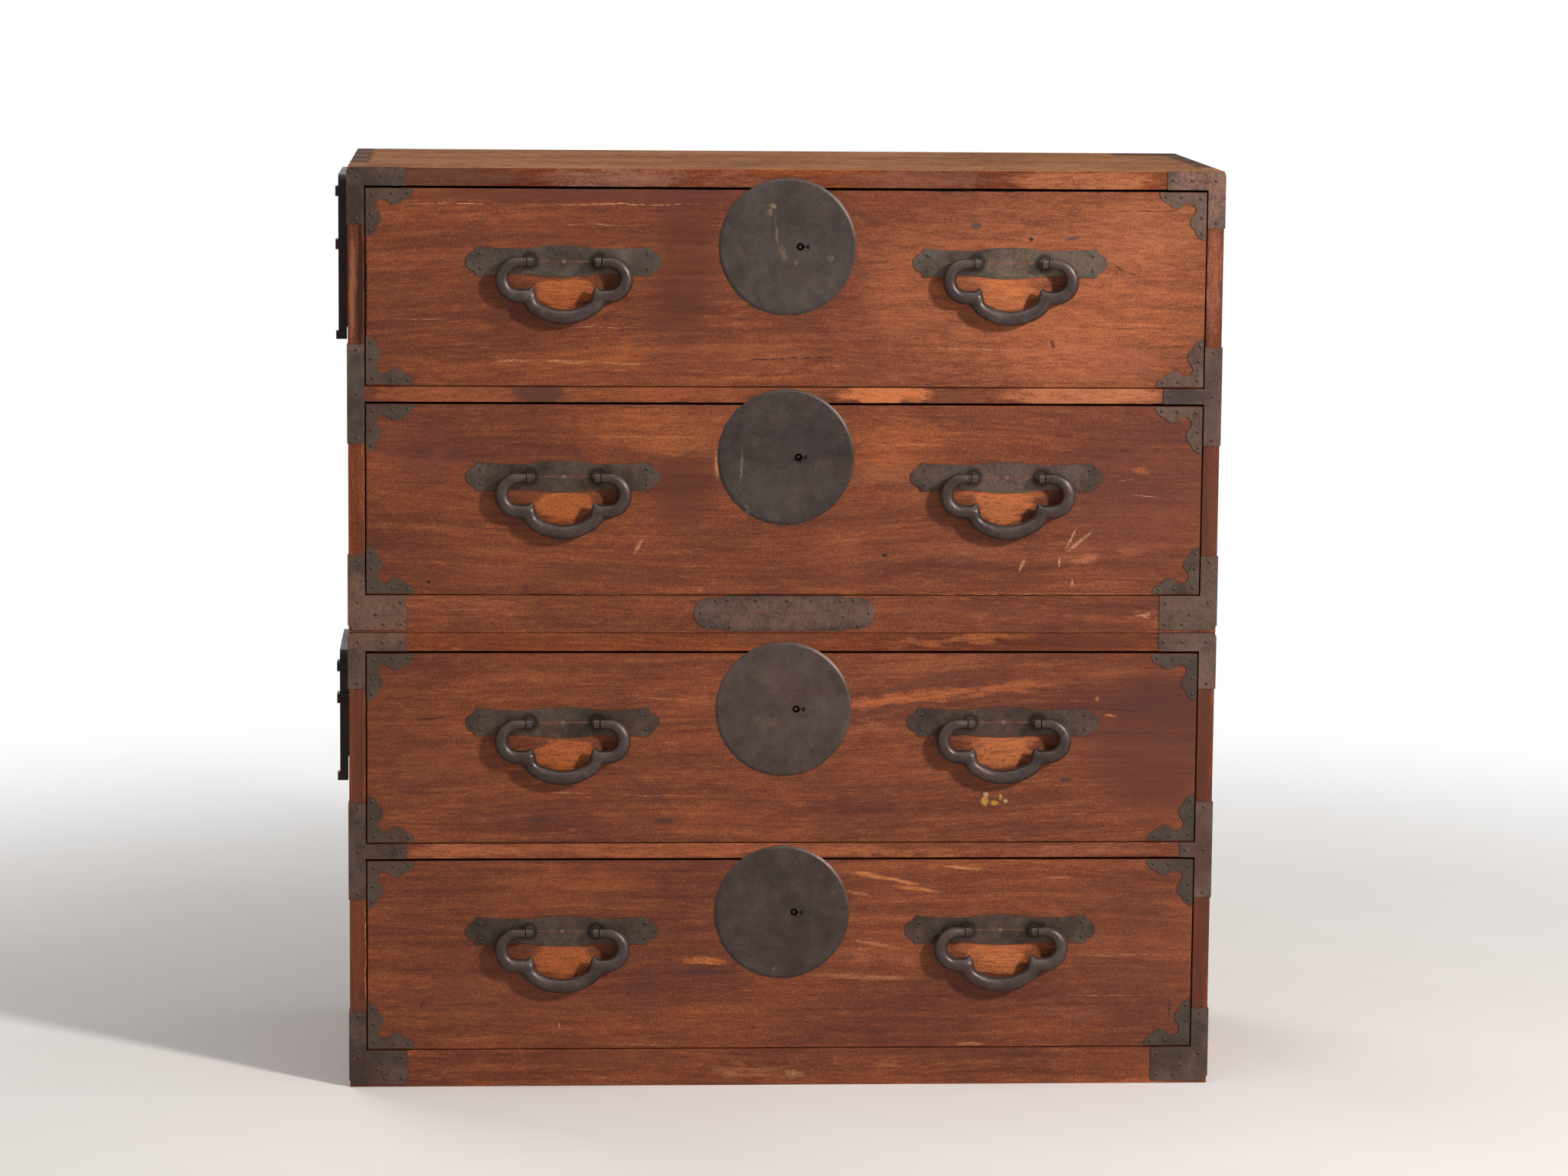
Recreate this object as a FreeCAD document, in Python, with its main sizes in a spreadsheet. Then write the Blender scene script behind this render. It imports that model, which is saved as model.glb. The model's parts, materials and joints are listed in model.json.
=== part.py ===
import FreeCAD, Part
import math
import os
import re
import types
from FreeCAD import Placement, Rotation, Vector

# Stacked clothing chest in its own frame: millimetres, +Z up, front towards -Y.
# The origin is on the floor, under the middle of its whole width and depth, handles included.

# Driving sizes
SIZES = {
    # Cases
    "case_width": 1060.0,
    "case_depth": 440.0,
    "side_thick": 20.0,
    "top_thick": 22.5,
    "top_edge_round": 3.0,
    "shelf_thick": 18.5,
    "rail_height": 46.0,
    "rail_thick": 20.0,
    "bottom_thick": 14.0,
    "back_thick": 9.0,
    "back_rabbet": 10.0,
    "housing_depth": 6.0,
    "finger_count": 4.0,
    # Heights of the four drawer openings, from the top of the chest down
    "drawer_1_opening": 242.0,
    "drawer_2_opening": 236.0,
    "drawer_3_opening": 238.5,
    "drawer_4_opening": 239.5,
    # Drawers
    "front_thick": 20.0,
    "front_lap": 8.0,
    "front_chamfer": 1.0,
    "drawer_side_gap": 1.5,
    "drawer_top_gap": 3.0,
    "drawer_bottom_gap": 1.0,
    "drawer_rear_gap": 12.0,
    "drawer_side_thick": 12.0,
    "drawer_back_thick": 10.0,
    "drawer_bottom_thick": 7.0,
    "drawer_side_drop": 4.0,
    "drawer_back_drop": 16.0,
    "running_gap": 0.3,
    # Irons on the cases
    "iron_thick": 1.2,
    "case_iron_leg": 70.0,
    "case_iron_drop": 69.0,
    "case_iron_return": 18.0,
    "case_iron_round": 6.0,
    "tee_height": 120.0,
    "short_tee_leg": 39.0,
    "base_iron_rise": 49.0,
    "base_iron_lift": 3.5,
    "base_iron_chamfer": 6.0,
    "iron_nail_inset": 6.5,
    # Middle plate on the upper base rail
    "middle_plate_length": 146.0,
    "middle_plate_height": 43.0,
    "middle_end_length": 37.0,
    "middle_end_height": 38.0,
    "middle_stroke_length": 78.0,
    "middle_stroke_height": 2.9,
    # Scalloped irons on the drawer corners
    "corner_iron_span": 58.0,
    "corner_iron_margin": 0.6,
    # Nails
    "nail_head_radius": 2.3,
    "nail_head_height": 0.9,
    "nail_shank_radius": 1.0,
    # Round lock plates and locks
    "lock_plate_radius": 83.0,
    "lock_plate_edge": 0.8,
    "lock_plate_thick": 2.4,
    "lock_plate_bevel": 3.0,
    "lock_1_drop": 71.0,
    "lock_2_drop": 66.0,
    "lock_3_drop": 71.5,
    "lock_4_drop": 67.5,
    "keyhole_offset": 15.0,
    "keyhole_radius": 4.6,
    "key_pin_radius": 1.9,
    "key_slot_reach": 10.5,
    "key_slot_neck": 1.4,
    "key_slot_end": 3.2,
    "lock_case_width": 84.0,
    "lock_case_height": 70.0,
    "lock_case_thick": 13.0,
    "bolt_width": 24.0,
    "bolt_thick": 5.0,
    "bolt_tail": 22.0,
    "bolt_recess": 1.0,
    "bolt_clearance": 0.4,
    "mortise_margin": 1.5,
    "mortise_depth": 11.0,
    # Handles
    "handle_spacing": 540.0,
    "handle_1_drop": 90.0,
    "handle_2_drop": 90.5,
    "handle_3_drop": 88.0,
    "handle_4_drop": 90.5,
    "handle_plate_length": 236.0,
    "handle_plate_height": 38.0,
    "handle_plate_thick": 1.4,
    "incised_length": 46.0,
    "incised_height": 1.8,
    "incised_depth": 0.5,
    "boss_radius": 2.0,
    "boss_height": 0.8,
    "post_spacing": 82.0,
    "post_standoff": 14.0,
    "post_shank_radius": 3.5,
    "post_collar_radius": 7.5,
    "post_collar_height": 2.0,
    "post_neck_radius": 3.3,
    "eye_radius": 6.4,
    "eye_width": 7.0,
    "washer_radius": 10.0,
    "washer_thick": 1.5,
    "clench_radius": 5.5,
    "clench_height": 2.0,
    "pin_radius": 3.0,
    "pin_clearance": 0.08,
    "pin_side_gap": 0.4,
    "pin_collar_radius": 6.0,
    "pin_collar_width": 3.0,
    "pin_head_radius": 4.2,
    "pin_head_width": 2.0,
    "bail_width": 165.5,
    "bail_drop": 66.0,
    "bail_cusp_spacing": 82.0,
    "bail_lobe_turn": 20.3,
    "bail_knee_turn": 15.0,
    "bail_grip_turn": 60.0,
    "bail_end_radius": 5.6,
    "bail_lobe_radius": 8.0,
    "bail_cusp_radius": 7.8,
    "bail_grip_radius": 8.8,
    "inner_spur_run": 3.5,
    "inner_spur_rise": 12.0,
    "outer_spur_run": 8.0,
    "outer_spur_drop": 10.2,
    "spur_tip_radius": 0.9,
    # Carrying-pole irons
    "pole_iron_span": 186.0,
    "pole_iron_leg": 14.0,
    "pole_iron_thick": 10.0,
    "pole_iron_standoff": 5.0,
    "pole_iron_round": 8.0,
    "pole_foot_height": 10.0,
    "pole_foot_proud": 3.0,
    "upper_pole_iron_drop": 16.5,
    "upper_pole_iron_height": 202.0,
    "upper_pole_guide_pitch": 65.0,
    "lower_pole_iron_drop": 40.5,
    "lower_pole_iron_height": 164.0,
    "lower_pole_guide_pitch": 40.0,
    "guide_wall": 3.0,
    "guide_height": 12.0,
    "guide_wing": 12.0,
    "guide_clearance": 0.4,
}

# Shapes chosen as shares of the size that they follow
CORNER_LEG_SHARES = ((1.0, 0.0), (0.94, 0.135), (0.775, 0.235), (0.66, 0.325), (0.48, 0.272),
                     (0.36, 0.222))
CORNER_THROAT_SHARE = 0.262
CORNER_NAIL_SHARES = ((0.86, 0.09), (0.53, 0.1), (0.13, 0.13), (0.1, 0.53), (0.09, 0.86))
WING_WAIST_SHARES = (0.36, 0.8)
WING_FLANK_SHARES = (0.62, 0.82)
WING_SHOULDER_SHARES = (0.89, 0.93)
WING_NOTCH_SHARES = (0.915, 0.6)
WING_NAIL_SHARES = (0.855, 0.48)
CASE_NAIL_SHARES = (0.91, 0.58, 0.16)
BASE_NAIL_SHARES = ((0.9, 0.17), (0.9, 0.8), (0.6, 0.17), (0.47, 0.45), (0.15, 0.8))
MIDDLE_NAIL_SHARES = ((-0.48, 0.86), (-0.24, 0.86), (0.02, 0.86), (0.22, 0.86), (0.47, 0.84),
                      (-0.46, 0.1), (0.4, 0.1), (0.49, 0.4))
MIDDLE_END_NAIL_SHARES = ((0.8, 0.5), (0.3, 0.9), (0.45, 0.08))
EYE_ROOT_SHARE = 0.62
CLENCH_FACE_SHARE = 0.7
COLLAR_FACE_SHARE = 0.85
SPUR_ROOT_SHARE = 0.94

doc = FreeCAD.newDocument("ClothingChest")
sheet = doc.addObject("Spreadsheet::Sheet", "Sizes")
for row, (alias, value) in enumerate(SIZES.items(), start=1):
    sheet.set("A%d" % row, alias)
    sheet.set("B%d" % row, str(value))
    sheet.setAlias("B%d" % row, alias)
doc.recompute()
S = types.SimpleNamespace(**{alias: float(sheet.get(alias)) for alias in SIZES})

MIDDLE = "(post_standoff + bail_grip_radius - iron_thick - nail_head_height) / 2"
FRONT = MIDDLE + " - case_depth / 2"
BACK = MIDDLE + " + case_depth / 2"
RIGHT = "case_width / 2"
INNER_WIDTH = "(case_width - 2 * side_thick)"
OUTWARDS = Rotation(Vector(1, 0, 0), 90)
HALF_TURN = Rotation(Vector(0, 0, 1), 180)
LOWER_HEIGHT = "(rail_height + drawer_4_opening + shelf_thick + drawer_3_opening + top_thick)"
UPPER_HEIGHT = "(rail_height + drawer_2_opening + shelf_thick + drawer_1_opening + top_thick)"

nodes = []


# Small helpers

def bound(text):
    """Turn a formula in size names into an expression on the sheet."""
    return re.sub(r"[a-z][a-z_0-9]+", lambda match: "Sizes." + match.group(), text)


def bind(thing, **formulas):
    """Bind properties of an object to formulas in size names."""
    for name, formula in formulas.items():
        thing.setExpression(name, bound(formula))
    return thing


def place(thing, x="0", y="0", z="0", turn=Rotation()):
    """Give an object its turn and bind where it stands."""
    thing.Placement = Placement(Vector(), turn)
    for axis, formula in zip("xyz", (x, y, z)):
        thing.setExpression("Placement.Base." + axis, bound(formula))
    return thing


def box(name, length, width, height, x, y, z):
    """A block whose lowest corner stands at x, y, z."""
    block = doc.addObject("Part::Box", name)
    bind(block, Length=length, Width=width, Height=height)
    return place(block, x, y, z)


def beam(name, length, width, height, y, z):
    """A block centred left to right."""
    return box(name, length, width, height, "-(%s) / 2" % length, y, z)


def rod(name, radius, height, x, y, z, turn=OUTWARDS):
    """A round bar from x, y, z towards the front, or as turned."""
    cylinder = doc.addObject("Part::Cylinder", name)
    bind(cylinder, Radius=radius, Height=height)
    return place(cylinder, x, y, z, turn)


def together(name, parts):
    """Several solids held side by side in one object."""
    compound = doc.addObject("Part::Compound", name)
    compound.Links = parts
    return compound


def joined(name, parts):
    """Several shapes forged into one solid."""
    fuse = doc.addObject("Part::MultiFuse", name)
    fuse.Shapes = parts
    fuse.Refine = True
    return fuse


def cut(name, base, tools):
    """A shape less its tools."""
    result = doc.addObject("Part::Cut", name)
    result.Base = base
    result.Tool = tools[0] if len(tools) == 1 else joined(name + "_tools", tools)
    return result


def node(label, thing):
    """Mark an object as a sub-part of the chest under its own name."""
    thing.Label = label
    nodes.append(thing)
    return thing


def node_group(label, parts):
    """Mark several separate solids as one sub-part."""
    return node(label, together(label, parts))


def line(start, end):
    return Part.LineSegment(Vector(*start, 0), Vector(*end, 0))


def arc(start, middle, end):
    return Part.Arc(Vector(*start, 0), Vector(*middle, 0), Vector(*end, 0))


def ring(centre, radius):
    return Part.Circle(Vector(*centre, 0), Vector(0, 0, 1), radius)


def polygon(points):
    return [line(start, end) for start, end in zip(points, points[1:] + points[:1])]


def sketch(body, role, name, geometry):
    """A sketch on one of the origin planes of its body."""
    plane = next(item for item in body.Origin.OriginFeatures if item.Role == role)
    profile = body.newObject("Sketcher::SketchObject", name)
    profile.AttachmentSupport = [(plane, "")]
    profile.MapMode = "FlatFace"
    profile.addGeometry(geometry, False)
    return profile


def pad(body, role, name, geometry, length, reverse=False, both_sides=False):
    """Raise a sketched outline, its inner rings left open."""
    feature = body.newObject("PartDesign::Pad", name + "_pad")
    feature.Profile = sketch(body, role, name + "_outline", geometry)
    feature.Reversed = reverse
    if both_sides:
        feature.SideType = "Symmetric"
    bind(feature, Length=length)
    return feature


def nails(name, points, thick, x, y, z, turn=Rotation()):
    """Domed nails through a plate that lies on the plane of y, heads towards -Y."""
    dome_radius = (S.nail_head_radius ** 2 + S.nail_head_height ** 2) / (2 * S.nail_head_height)
    base_angle = math.degrees(math.asin((dome_radius - S.nail_head_height) / dome_radius))
    dome_drop = dome_radius - S.nail_head_height
    outward = Vector(0, -1, 0)
    solids = []
    for across, up in points:
        foot = Vector(across, 0, up)
        centre = foot + outward * (thick - dome_drop)
        head = Part.makeSphere(dome_radius, centre, outward, base_angle, 90, 360)
        shank = Part.makeCylinder(S.nail_shank_radius, thick, foot, outward)
        solids.append(head.fuse(shank).removeSplitter())
    group = doc.addObject("Part::Feature", name)
    group.Shape = Part.makeCompound(solids)
    return place(group, x, y, z, turn)


# Outlines

def corner_outline(side, up):
    """Scalloped L, its outer corner at 0, 0 and its legs towards the drawer's middle."""
    span = S.corner_iron_span
    throat = span * CORNER_THROAT_SHARE
    leg = [(span * along, span * wide) for along, wide in CORNER_LEG_SHARES]
    lying = [(side * along, up * wide) for along, wide in leg]
    standing = [(side * wide, up * along) for along, wide in leg]
    middle = (side * throat, up * throat)
    corner = (0, 0)
    return [
        line(corner, lying[0]),
        arc(lying[0], lying[1], lying[2]),
        arc(lying[2], lying[3], lying[4]),
        arc(lying[4], lying[5], middle),
        arc(middle, standing[5], standing[4]),
        arc(standing[4], standing[3], standing[2]),
        arc(standing[2], standing[1], standing[0]),
        line(standing[0], corner),
    ]


def wing_outline():
    """Handle plate: a full middle, hollow flanks and a tongue at each end."""
    half = S.handle_plate_length / 2
    tall = S.handle_plate_height / 2

    def at(side, up, shares):
        return (side * half * shares[0], up * tall * shares[1])

    edges = []
    for up in (1, -1):
        for side in (1, -1):
            shoulder = at(side, up, WING_SHOULDER_SHARES)
            edges.append(arc(shoulder, at(side, up, WING_FLANK_SHARES),
                             at(side, up, WING_WAIST_SHARES)))
            edges.append(line(shoulder, at(side, up, WING_NOTCH_SHARES)))
        edges.append(arc(at(-1, up, WING_WAIST_SHARES), (0, up * tall),
                         at(1, up, WING_WAIST_SHARES)))
    for side in (1, -1):
        edges.append(arc(at(side, 1, WING_NOTCH_SHARES), (side * half, 0),
                         at(side, -1, WING_NOTCH_SHARES)))
    return edges


def taper_outlines(length, height, gap):
    """Two slim tapering strokes, thick at the far ends, either side of a boss."""
    half = length / 2
    return [polygon([(side * gap, 0), (side * half, height / 2), (side * half, -height / 2)])
            for side in (1, -1)]


# Cases

def case_parts(prefix, base, height, lower_opening, upper_opening):
    """Boards of one case, standing at the height base."""
    inner_left = "-%s / 2" % INNER_WIDTH
    housed = "(%s + 2 * housing_depth)" % INNER_WIDTH
    board_depth = "(case_depth - back_thick)"
    floor_top = "%s + rail_height" % base
    shelf_low = "%s + %s" % (floor_top, lower_opening)
    case_top = "%s + %s" % (base, height)
    top_low = "%s - top_thick" % case_top
    finger = "case_depth / (2 * finger_count + 1)"
    fingers = int(S.finger_count)

    def side_board(name, x, housing_x, rabbet_x):
        board = box(name + "_board", "side_thick", "case_depth", height, x, FRONT, base)
        grooves = [
            box(name + "_shelf_groove", "housing_depth", board_depth, "shelf_thick",
                housing_x, FRONT, shelf_low),
            box(name + "_floor_groove", "housing_depth", board_depth + " - rail_thick",
                "bottom_thick", housing_x, FRONT + " + rail_thick", floor_top + " - bottom_thick"),
            box(name + "_back_rabbet", "back_rabbet", "back_thick", height + " - top_thick",
                rabbet_x, BACK + " - back_thick", base),
        ]
        for count in range(fingers + 1):
            grooves.append(box("%s_finger_gap_%d" % (name, count), "side_thick", finger,
                               "top_thick", x, FRONT + " + %d * %s" % (2 * count, finger), top_low))
        return cut(name, board, grooves)

    left = side_board(prefix + "_left", "-" + RIGHT, inner_left + " - housing_depth",
                      inner_left + " - back_rabbet")
    right = side_board(prefix + "_right", RIGHT + " - side_thick", INNER_WIDTH + " / 2",
                       INNER_WIDTH + " / 2")
    node_group(prefix + "_side_boards", [left, right])

    board = beam(prefix + "_top_blank", "case_width", "case_depth", "top_thick", FRONT, top_low)
    doc.recompute()
    rounded = doc.addObject("Part::Fillet", prefix + "_top_worn")
    rounded.Base = board
    crown = board.Shape.BoundBox
    rounded.Edges = [(index, S.top_edge_round, S.top_edge_round)
                     for index, edge in enumerate(board.Shape.Edges, start=1)
                     if edge.BoundBox.YMax < crown.YMin + S.top_edge_round
                     and edge.BoundBox.ZMin > crown.ZMax - S.top_edge_round]
    notches = []
    for count in range(fingers):
        along = FRONT + " + %d * %s" % (2 * count + 1, finger)
        for word, x in (("left", "-" + RIGHT), ("right", RIGHT + " - side_thick")):
            notches.append(box("%s_top_notch_%s_%d" % (prefix, word, count), "side_thick", finger,
                               "top_thick", x, along, top_low))
    notches.append(mortise(prefix + "_top", top_low))
    node(prefix + "_top_board", cut(prefix + "_top", rounded, notches))

    shelf = beam(prefix + "_shelf_blank", housed, board_depth, "shelf_thick", FRONT, shelf_low)
    node(prefix + "_shelf", cut(prefix + "_shelf_board", shelf,
                                [mortise(prefix + "_shelf", shelf_low)]))
    node(prefix + "_bottom_board",
         beam(prefix + "_floor", housed, board_depth + " - rail_thick", "bottom_thick",
              FRONT + " + rail_thick", floor_top + " - bottom_thick"))
    node_group(prefix + "_base_rails", [
        beam(prefix + "_front_rail", INNER_WIDTH, "rail_thick", "rail_height", FRONT, base),
        beam(prefix + "_rear_rail", INNER_WIDTH, "rail_thick", "rail_height - bottom_thick",
             BACK + " - back_thick - rail_thick", base),
    ])
    node(prefix + "_back_panel",
         beam(prefix + "_back", "(%s + 2 * back_rabbet)" % INNER_WIDTH, "back_thick",
              height + " - top_thick", BACK + " - back_thick", base))


BOLT_Y = FRONT + " + front_thick + (lock_case_thick - bolt_thick) / 2"


def mortise(name, low):
    """The pocket in a board that takes the bolt of the drawer below it."""
    return beam(name + "_mortise", "(bolt_width + 2 * mortise_margin)",
                "bolt_thick + 2 * mortise_margin", "mortise_depth",
                BOLT_Y + " - mortise_margin", low)


# Irons on the cases

def case_iron(name, side, outline, holes, returns, x, y, z, turn=Rotation()):
    """A flat iron on the face of a case, bent round its outer edge."""
    body = doc.addObject("PartDesign::Body", name)
    rings = [ring(hole, S.nail_shank_radius) for hole in holes]
    pad(body, "XZ_Plane", name, outline + rings, "iron_thick")
    low, high = returns
    strip = polygon([(-S.iron_thick, low), (S.case_iron_return, low),
                     (S.case_iron_return, high), (-S.iron_thick, high)])
    pad(body, "YZ_Plane", name + "_return", strip, "iron_thick", reverse=side < 0)
    place(body, x, y, z, turn)
    return [body, nails(name + "_nails", holes, S.iron_thick, x, y, z, turn)]


def four_corners(name, make, z, at_back=True):
    """Make a left and right iron at the front, and turned ones at the back."""
    parts = []
    for word, side in (("left", -1), ("right", 1)):
        sign = "-" if side < 0 else ""
        parts += make("%s_front_%s" % (name, word), side, sign + RIGHT, FRONT, z, Rotation())
        if at_back:
            other = "" if side < 0 else "-"
            parts += make("%s_back_%s" % (name, word), side, other + RIGHT, BACK, z, HALF_TURN)
    return parts


def top_corner_iron(name, side, x, y, z, turn):
    """L iron hung from the top corner of a case, its outer corner at 0, 0."""
    edge = S.iron_thick
    round_off = S.case_iron_round
    soft = round_off * (1 - math.sqrt(0.5))
    points = [(edge, -S.case_iron_drop), (edge, -round_off), (edge - round_off, 0),
              (-S.case_iron_leg, 0), (-S.case_iron_leg, -S.top_thick),
              (-S.side_thick, -S.top_thick), (-S.side_thick, -S.case_iron_drop)]
    points = [(side * across, up) for across, up in points]
    outline = polygon(points)
    outline[1] = arc(points[1], (side * (edge - soft), -soft), points[2])
    middle = -S.top_thick / 2
    holes = [(-side * S.case_iron_leg * share, middle) for share in CASE_NAIL_SHARES]
    holes.append((-side * S.side_thick / 2, S.iron_nail_inset - S.case_iron_drop))
    return case_iron(name, side, outline, holes, (-S.case_iron_drop, -round_off), x, y, z, turn)


def base_corner_iron(name, side, x, y, z, turn):
    """Wide L iron at the foot of a case, the foot of its edge at 0, 0."""
    edge = S.iron_thick
    low = S.base_iron_lift
    cant = S.base_iron_chamfer
    tall = S.rail_height
    points = [(edge - cant, low), (edge, low + cant), (edge, tall + S.base_iron_rise),
              (-S.side_thick, tall + S.base_iron_rise), (-S.side_thick, tall),
              (-S.case_iron_leg, tall), (-S.case_iron_leg, low)]
    points = [(side * across, up) for across, up in points]
    holes = [(-side * S.case_iron_leg * along, low + (tall - low) * up)
             for along, up in BASE_NAIL_SHARES]
    holes.append((-side * S.side_thick / 2, tall + S.base_iron_rise - S.iron_nail_inset))
    return case_iron(name, side, polygon(points), holes,
                     (low + cant, tall + S.base_iron_rise), x, y, z, turn)


def tee_iron(leg):
    """T iron at the end of a shelf, its edge at 0 and its middle at the shelf's middle."""
    def make(name, side, x, y, z, turn):
        edge = S.iron_thick
        tall = S.tee_height / 2
        half = S.shelf_thick / 2
        points = [(edge, -tall), (edge, tall), (-S.side_thick, tall)]
        holes = [(-side * S.side_thick / 2, up * (tall - S.iron_nail_inset)) for up in (-1, 1)]
        if leg > S.side_thick:
            points += [(-S.side_thick, half), (-leg, half), (-leg, -half), (-S.side_thick, -half)]
            holes.append((-side * (leg - S.iron_nail_inset), 0))
        points.append((-S.side_thick, -tall))
        holes.append((-side * S.side_thick / 2, 0))
        points = [(side * across, up) for across, up in points]
        return case_iron(name, side, polygon(points), holes, (-tall, tall), x, y, z, turn)
    return make


def case_irons(prefix, base, height, lower_opening, tee_legs, extra):
    """All the flat irons of one case."""
    shelf_middle = "%s + rail_height + %s + shelf_thick / 2" % (base, lower_opening)
    parts = four_corners(prefix + "_top_iron", top_corner_iron, "%s + %s" % (base, height))
    parts += four_corners(prefix + "_base_iron", base_corner_iron, base)
    for (word, side), leg in zip((("left", -1), ("right", 1)), tee_legs):
        sign = "-" if side < 0 else ""
        parts += tee_iron(leg)("%s_tee_%s" % (prefix, word), side, sign + RIGHT, FRONT,
                               shelf_middle, Rotation())
    node_group(prefix + "_case_irons", parts + extra)


def middle_plate(base):
    """Long plate on the upper base rail, in three pieces set end to end."""
    z = "%s + rail_height - middle_plate_height" % base
    half = S.middle_plate_length / 2
    tall = S.middle_plate_height
    body = doc.addObject("PartDesign::Body", "middle_plate")
    holes = [(S.middle_plate_length * along, tall * up) for along, up in MIDDLE_NAIL_SHARES]
    outline = polygon([(-half, 0), (half, 0), (half, tall), (-half, tall)])
    rings = [ring(hole, S.nail_shank_radius) for hole in holes]
    pad(body, "XZ_Plane", "middle_plate", outline + rings, "iron_thick")
    strokes = taper_outlines(S.middle_stroke_length, S.middle_stroke_height, S.boss_radius)
    for number, stroke in enumerate(strokes):
        lifted = [shifted(edge, 0, tall / 2) for edge in stroke]
        engrave(body, "middle_stroke_%d" % number, lifted, "iron_thick")
    place(body, "0", FRONT, z)
    parts = [body, nails("middle_plate_nails", holes, S.iron_thick, "0", FRONT, z)]
    for word, side in (("left", -1), ("right", 1)):
        parts += middle_end(word, side, z)
    return parts


def middle_end(word, side, z):
    """Lobed end piece that butts on the middle plate."""
    reach = S.middle_end_length
    tall = S.middle_end_height
    shoulder = reach - tall / 2
    low = (S.middle_plate_height - tall) / 2
    start = (0, low)
    points = [start, (side * shoulder, low), (side * shoulder, low + tall), (0, low + tall)]
    outline = polygon(points)
    outline[1] = arc(points[1], (side * reach, low + tall / 2), points[2])
    holes = [(side * reach * along, low + tall * up) for along, up in MIDDLE_END_NAIL_SHARES]
    rings = [ring(hole, S.nail_shank_radius) for hole in holes]
    name = "middle_end_" + word
    body = doc.addObject("PartDesign::Body", name)
    pad(body, "XZ_Plane", name, outline + rings, "iron_thick")
    x = ("-" if side < 0 else "") + "middle_plate_length / 2"
    place(body, x, FRONT, z)
    return [body, nails(name + "_nails", holes, S.iron_thick, x, FRONT, z)]


def shifted(edge, across, up):
    """A sketched line moved in its plane."""
    move = Vector(across, up, 0)
    return Part.LineSegment(edge.StartPoint + move, edge.EndPoint + move)


def engrave(body, name, geometry, face):
    """A shallow stroke sunk into the outer face of a plate."""
    profile = sketch(body, "XZ_Plane", name + "_outline", geometry)
    profile.setExpression(".AttachmentOffset.Base.z", bound(face))
    feature = body.newObject("PartDesign::Pocket", name + "_pocket")
    feature.Profile = profile
    bind(feature, Length="incised_depth")
    return feature


# Carrying-pole irons

def pole_iron(label, side, top, height):
    """U-shaped bar with feet, on the face of a side board; top is its upper face."""
    tall = getattr(S, height)
    half = S.pole_iron_span / 2
    inner = half - S.pole_iron_leg
    soft = S.pole_iron_round
    bend = soft * (1 - math.sqrt(0.5))
    points = [(-half, -tall), (-half, -soft), (soft - half, 0), (half - soft, 0), (half, -soft),
              (half, -tall), (inner, -tall), (inner, -S.pole_iron_leg),
              (-inner, -S.pole_iron_leg), (-inner, -tall)]
    outline = polygon(points)
    outline[1] = arc(points[1], (bend - half, -bend), points[2])
    outline[3] = arc(points[3], (half - bend, -bend), points[4])
    body = doc.addObject("PartDesign::Body", label)
    pad(body, "YZ_Plane", label, outline, "pole_iron_thick")
    for number, foot in enumerate((-half, inner)):
        toe = polygon([(foot, -tall), (foot + S.pole_iron_leg, -tall),
                       (foot + S.pole_iron_leg, S.pole_foot_height - tall),
                       (foot, S.pole_foot_height - tall)])
        pad(body, "YZ_Plane", "%s_foot_%d" % (label, number), toe,
            "pole_iron_thick + pole_foot_proud")
    sign = "-" if side < 0 else ""
    x = sign + "(%s + pole_iron_standoff)" % RIGHT
    place(body, x, MIDDLE, top, Rotation() if side > 0 else HALF_TURN)
    return node(label, body)


def guide_strap(name, side, y, middle):
    """Strap over one leg of a pole iron, with a nailed wing on each side."""
    gap = S.guide_clearance
    channel = S.pole_iron_leg / 2 + gap
    outer = channel + S.guide_wall
    wing = outer + S.guide_wing
    deep = S.pole_iron_standoff + S.pole_iron_thick + gap
    crown = deep + S.guide_wall
    points = [(0, -wing), (S.guide_wall, -wing), (S.guide_wall, -outer), (crown, -outer),
              (crown, outer), (S.guide_wall, outer), (S.guide_wall, wing), (0, wing),
              (0, channel), (deep, channel), (deep, -channel), (0, -channel)]
    body = doc.addObject("PartDesign::Body", name)
    pad(body, "XY_Plane", name, polygon(points), "guide_height")
    sign = "-" if side < 0 else ""
    z = "%s - guide_height / 2" % middle
    place(body, sign + RIGHT, y, z, Rotation() if side > 0 else HALF_TURN)
    return body


def pole_parts(prefix, case_top, drop, height, pitch):
    """Pole irons and guide straps on both sides of one case."""
    top = "%s - %s" % (case_top, drop)
    guide = "%s - pole_iron_leg - running_gap - guide_height / 2" % top
    leg = "(pole_iron_span - pole_iron_leg) / 2"
    straps = []
    for word, side in (("left", -1), ("right", 1)):
        pole_iron("%s_pole_iron_%s" % (prefix, word), side, top, height)
        for number, middle in enumerate((guide, "%s - %s" % (guide, pitch)), start=1):
            for end, sign in (("fore", "-"), ("rear", "+")):
                name = "%s_guide_%s_%s_%d" % (prefix, word, end, number)
                straps.append(guide_strap(name, side, "%s %s %s" % (MIDDLE, sign, leg), middle))
    node_group(prefix + "_pole_guides", straps)


# Drawers

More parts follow.
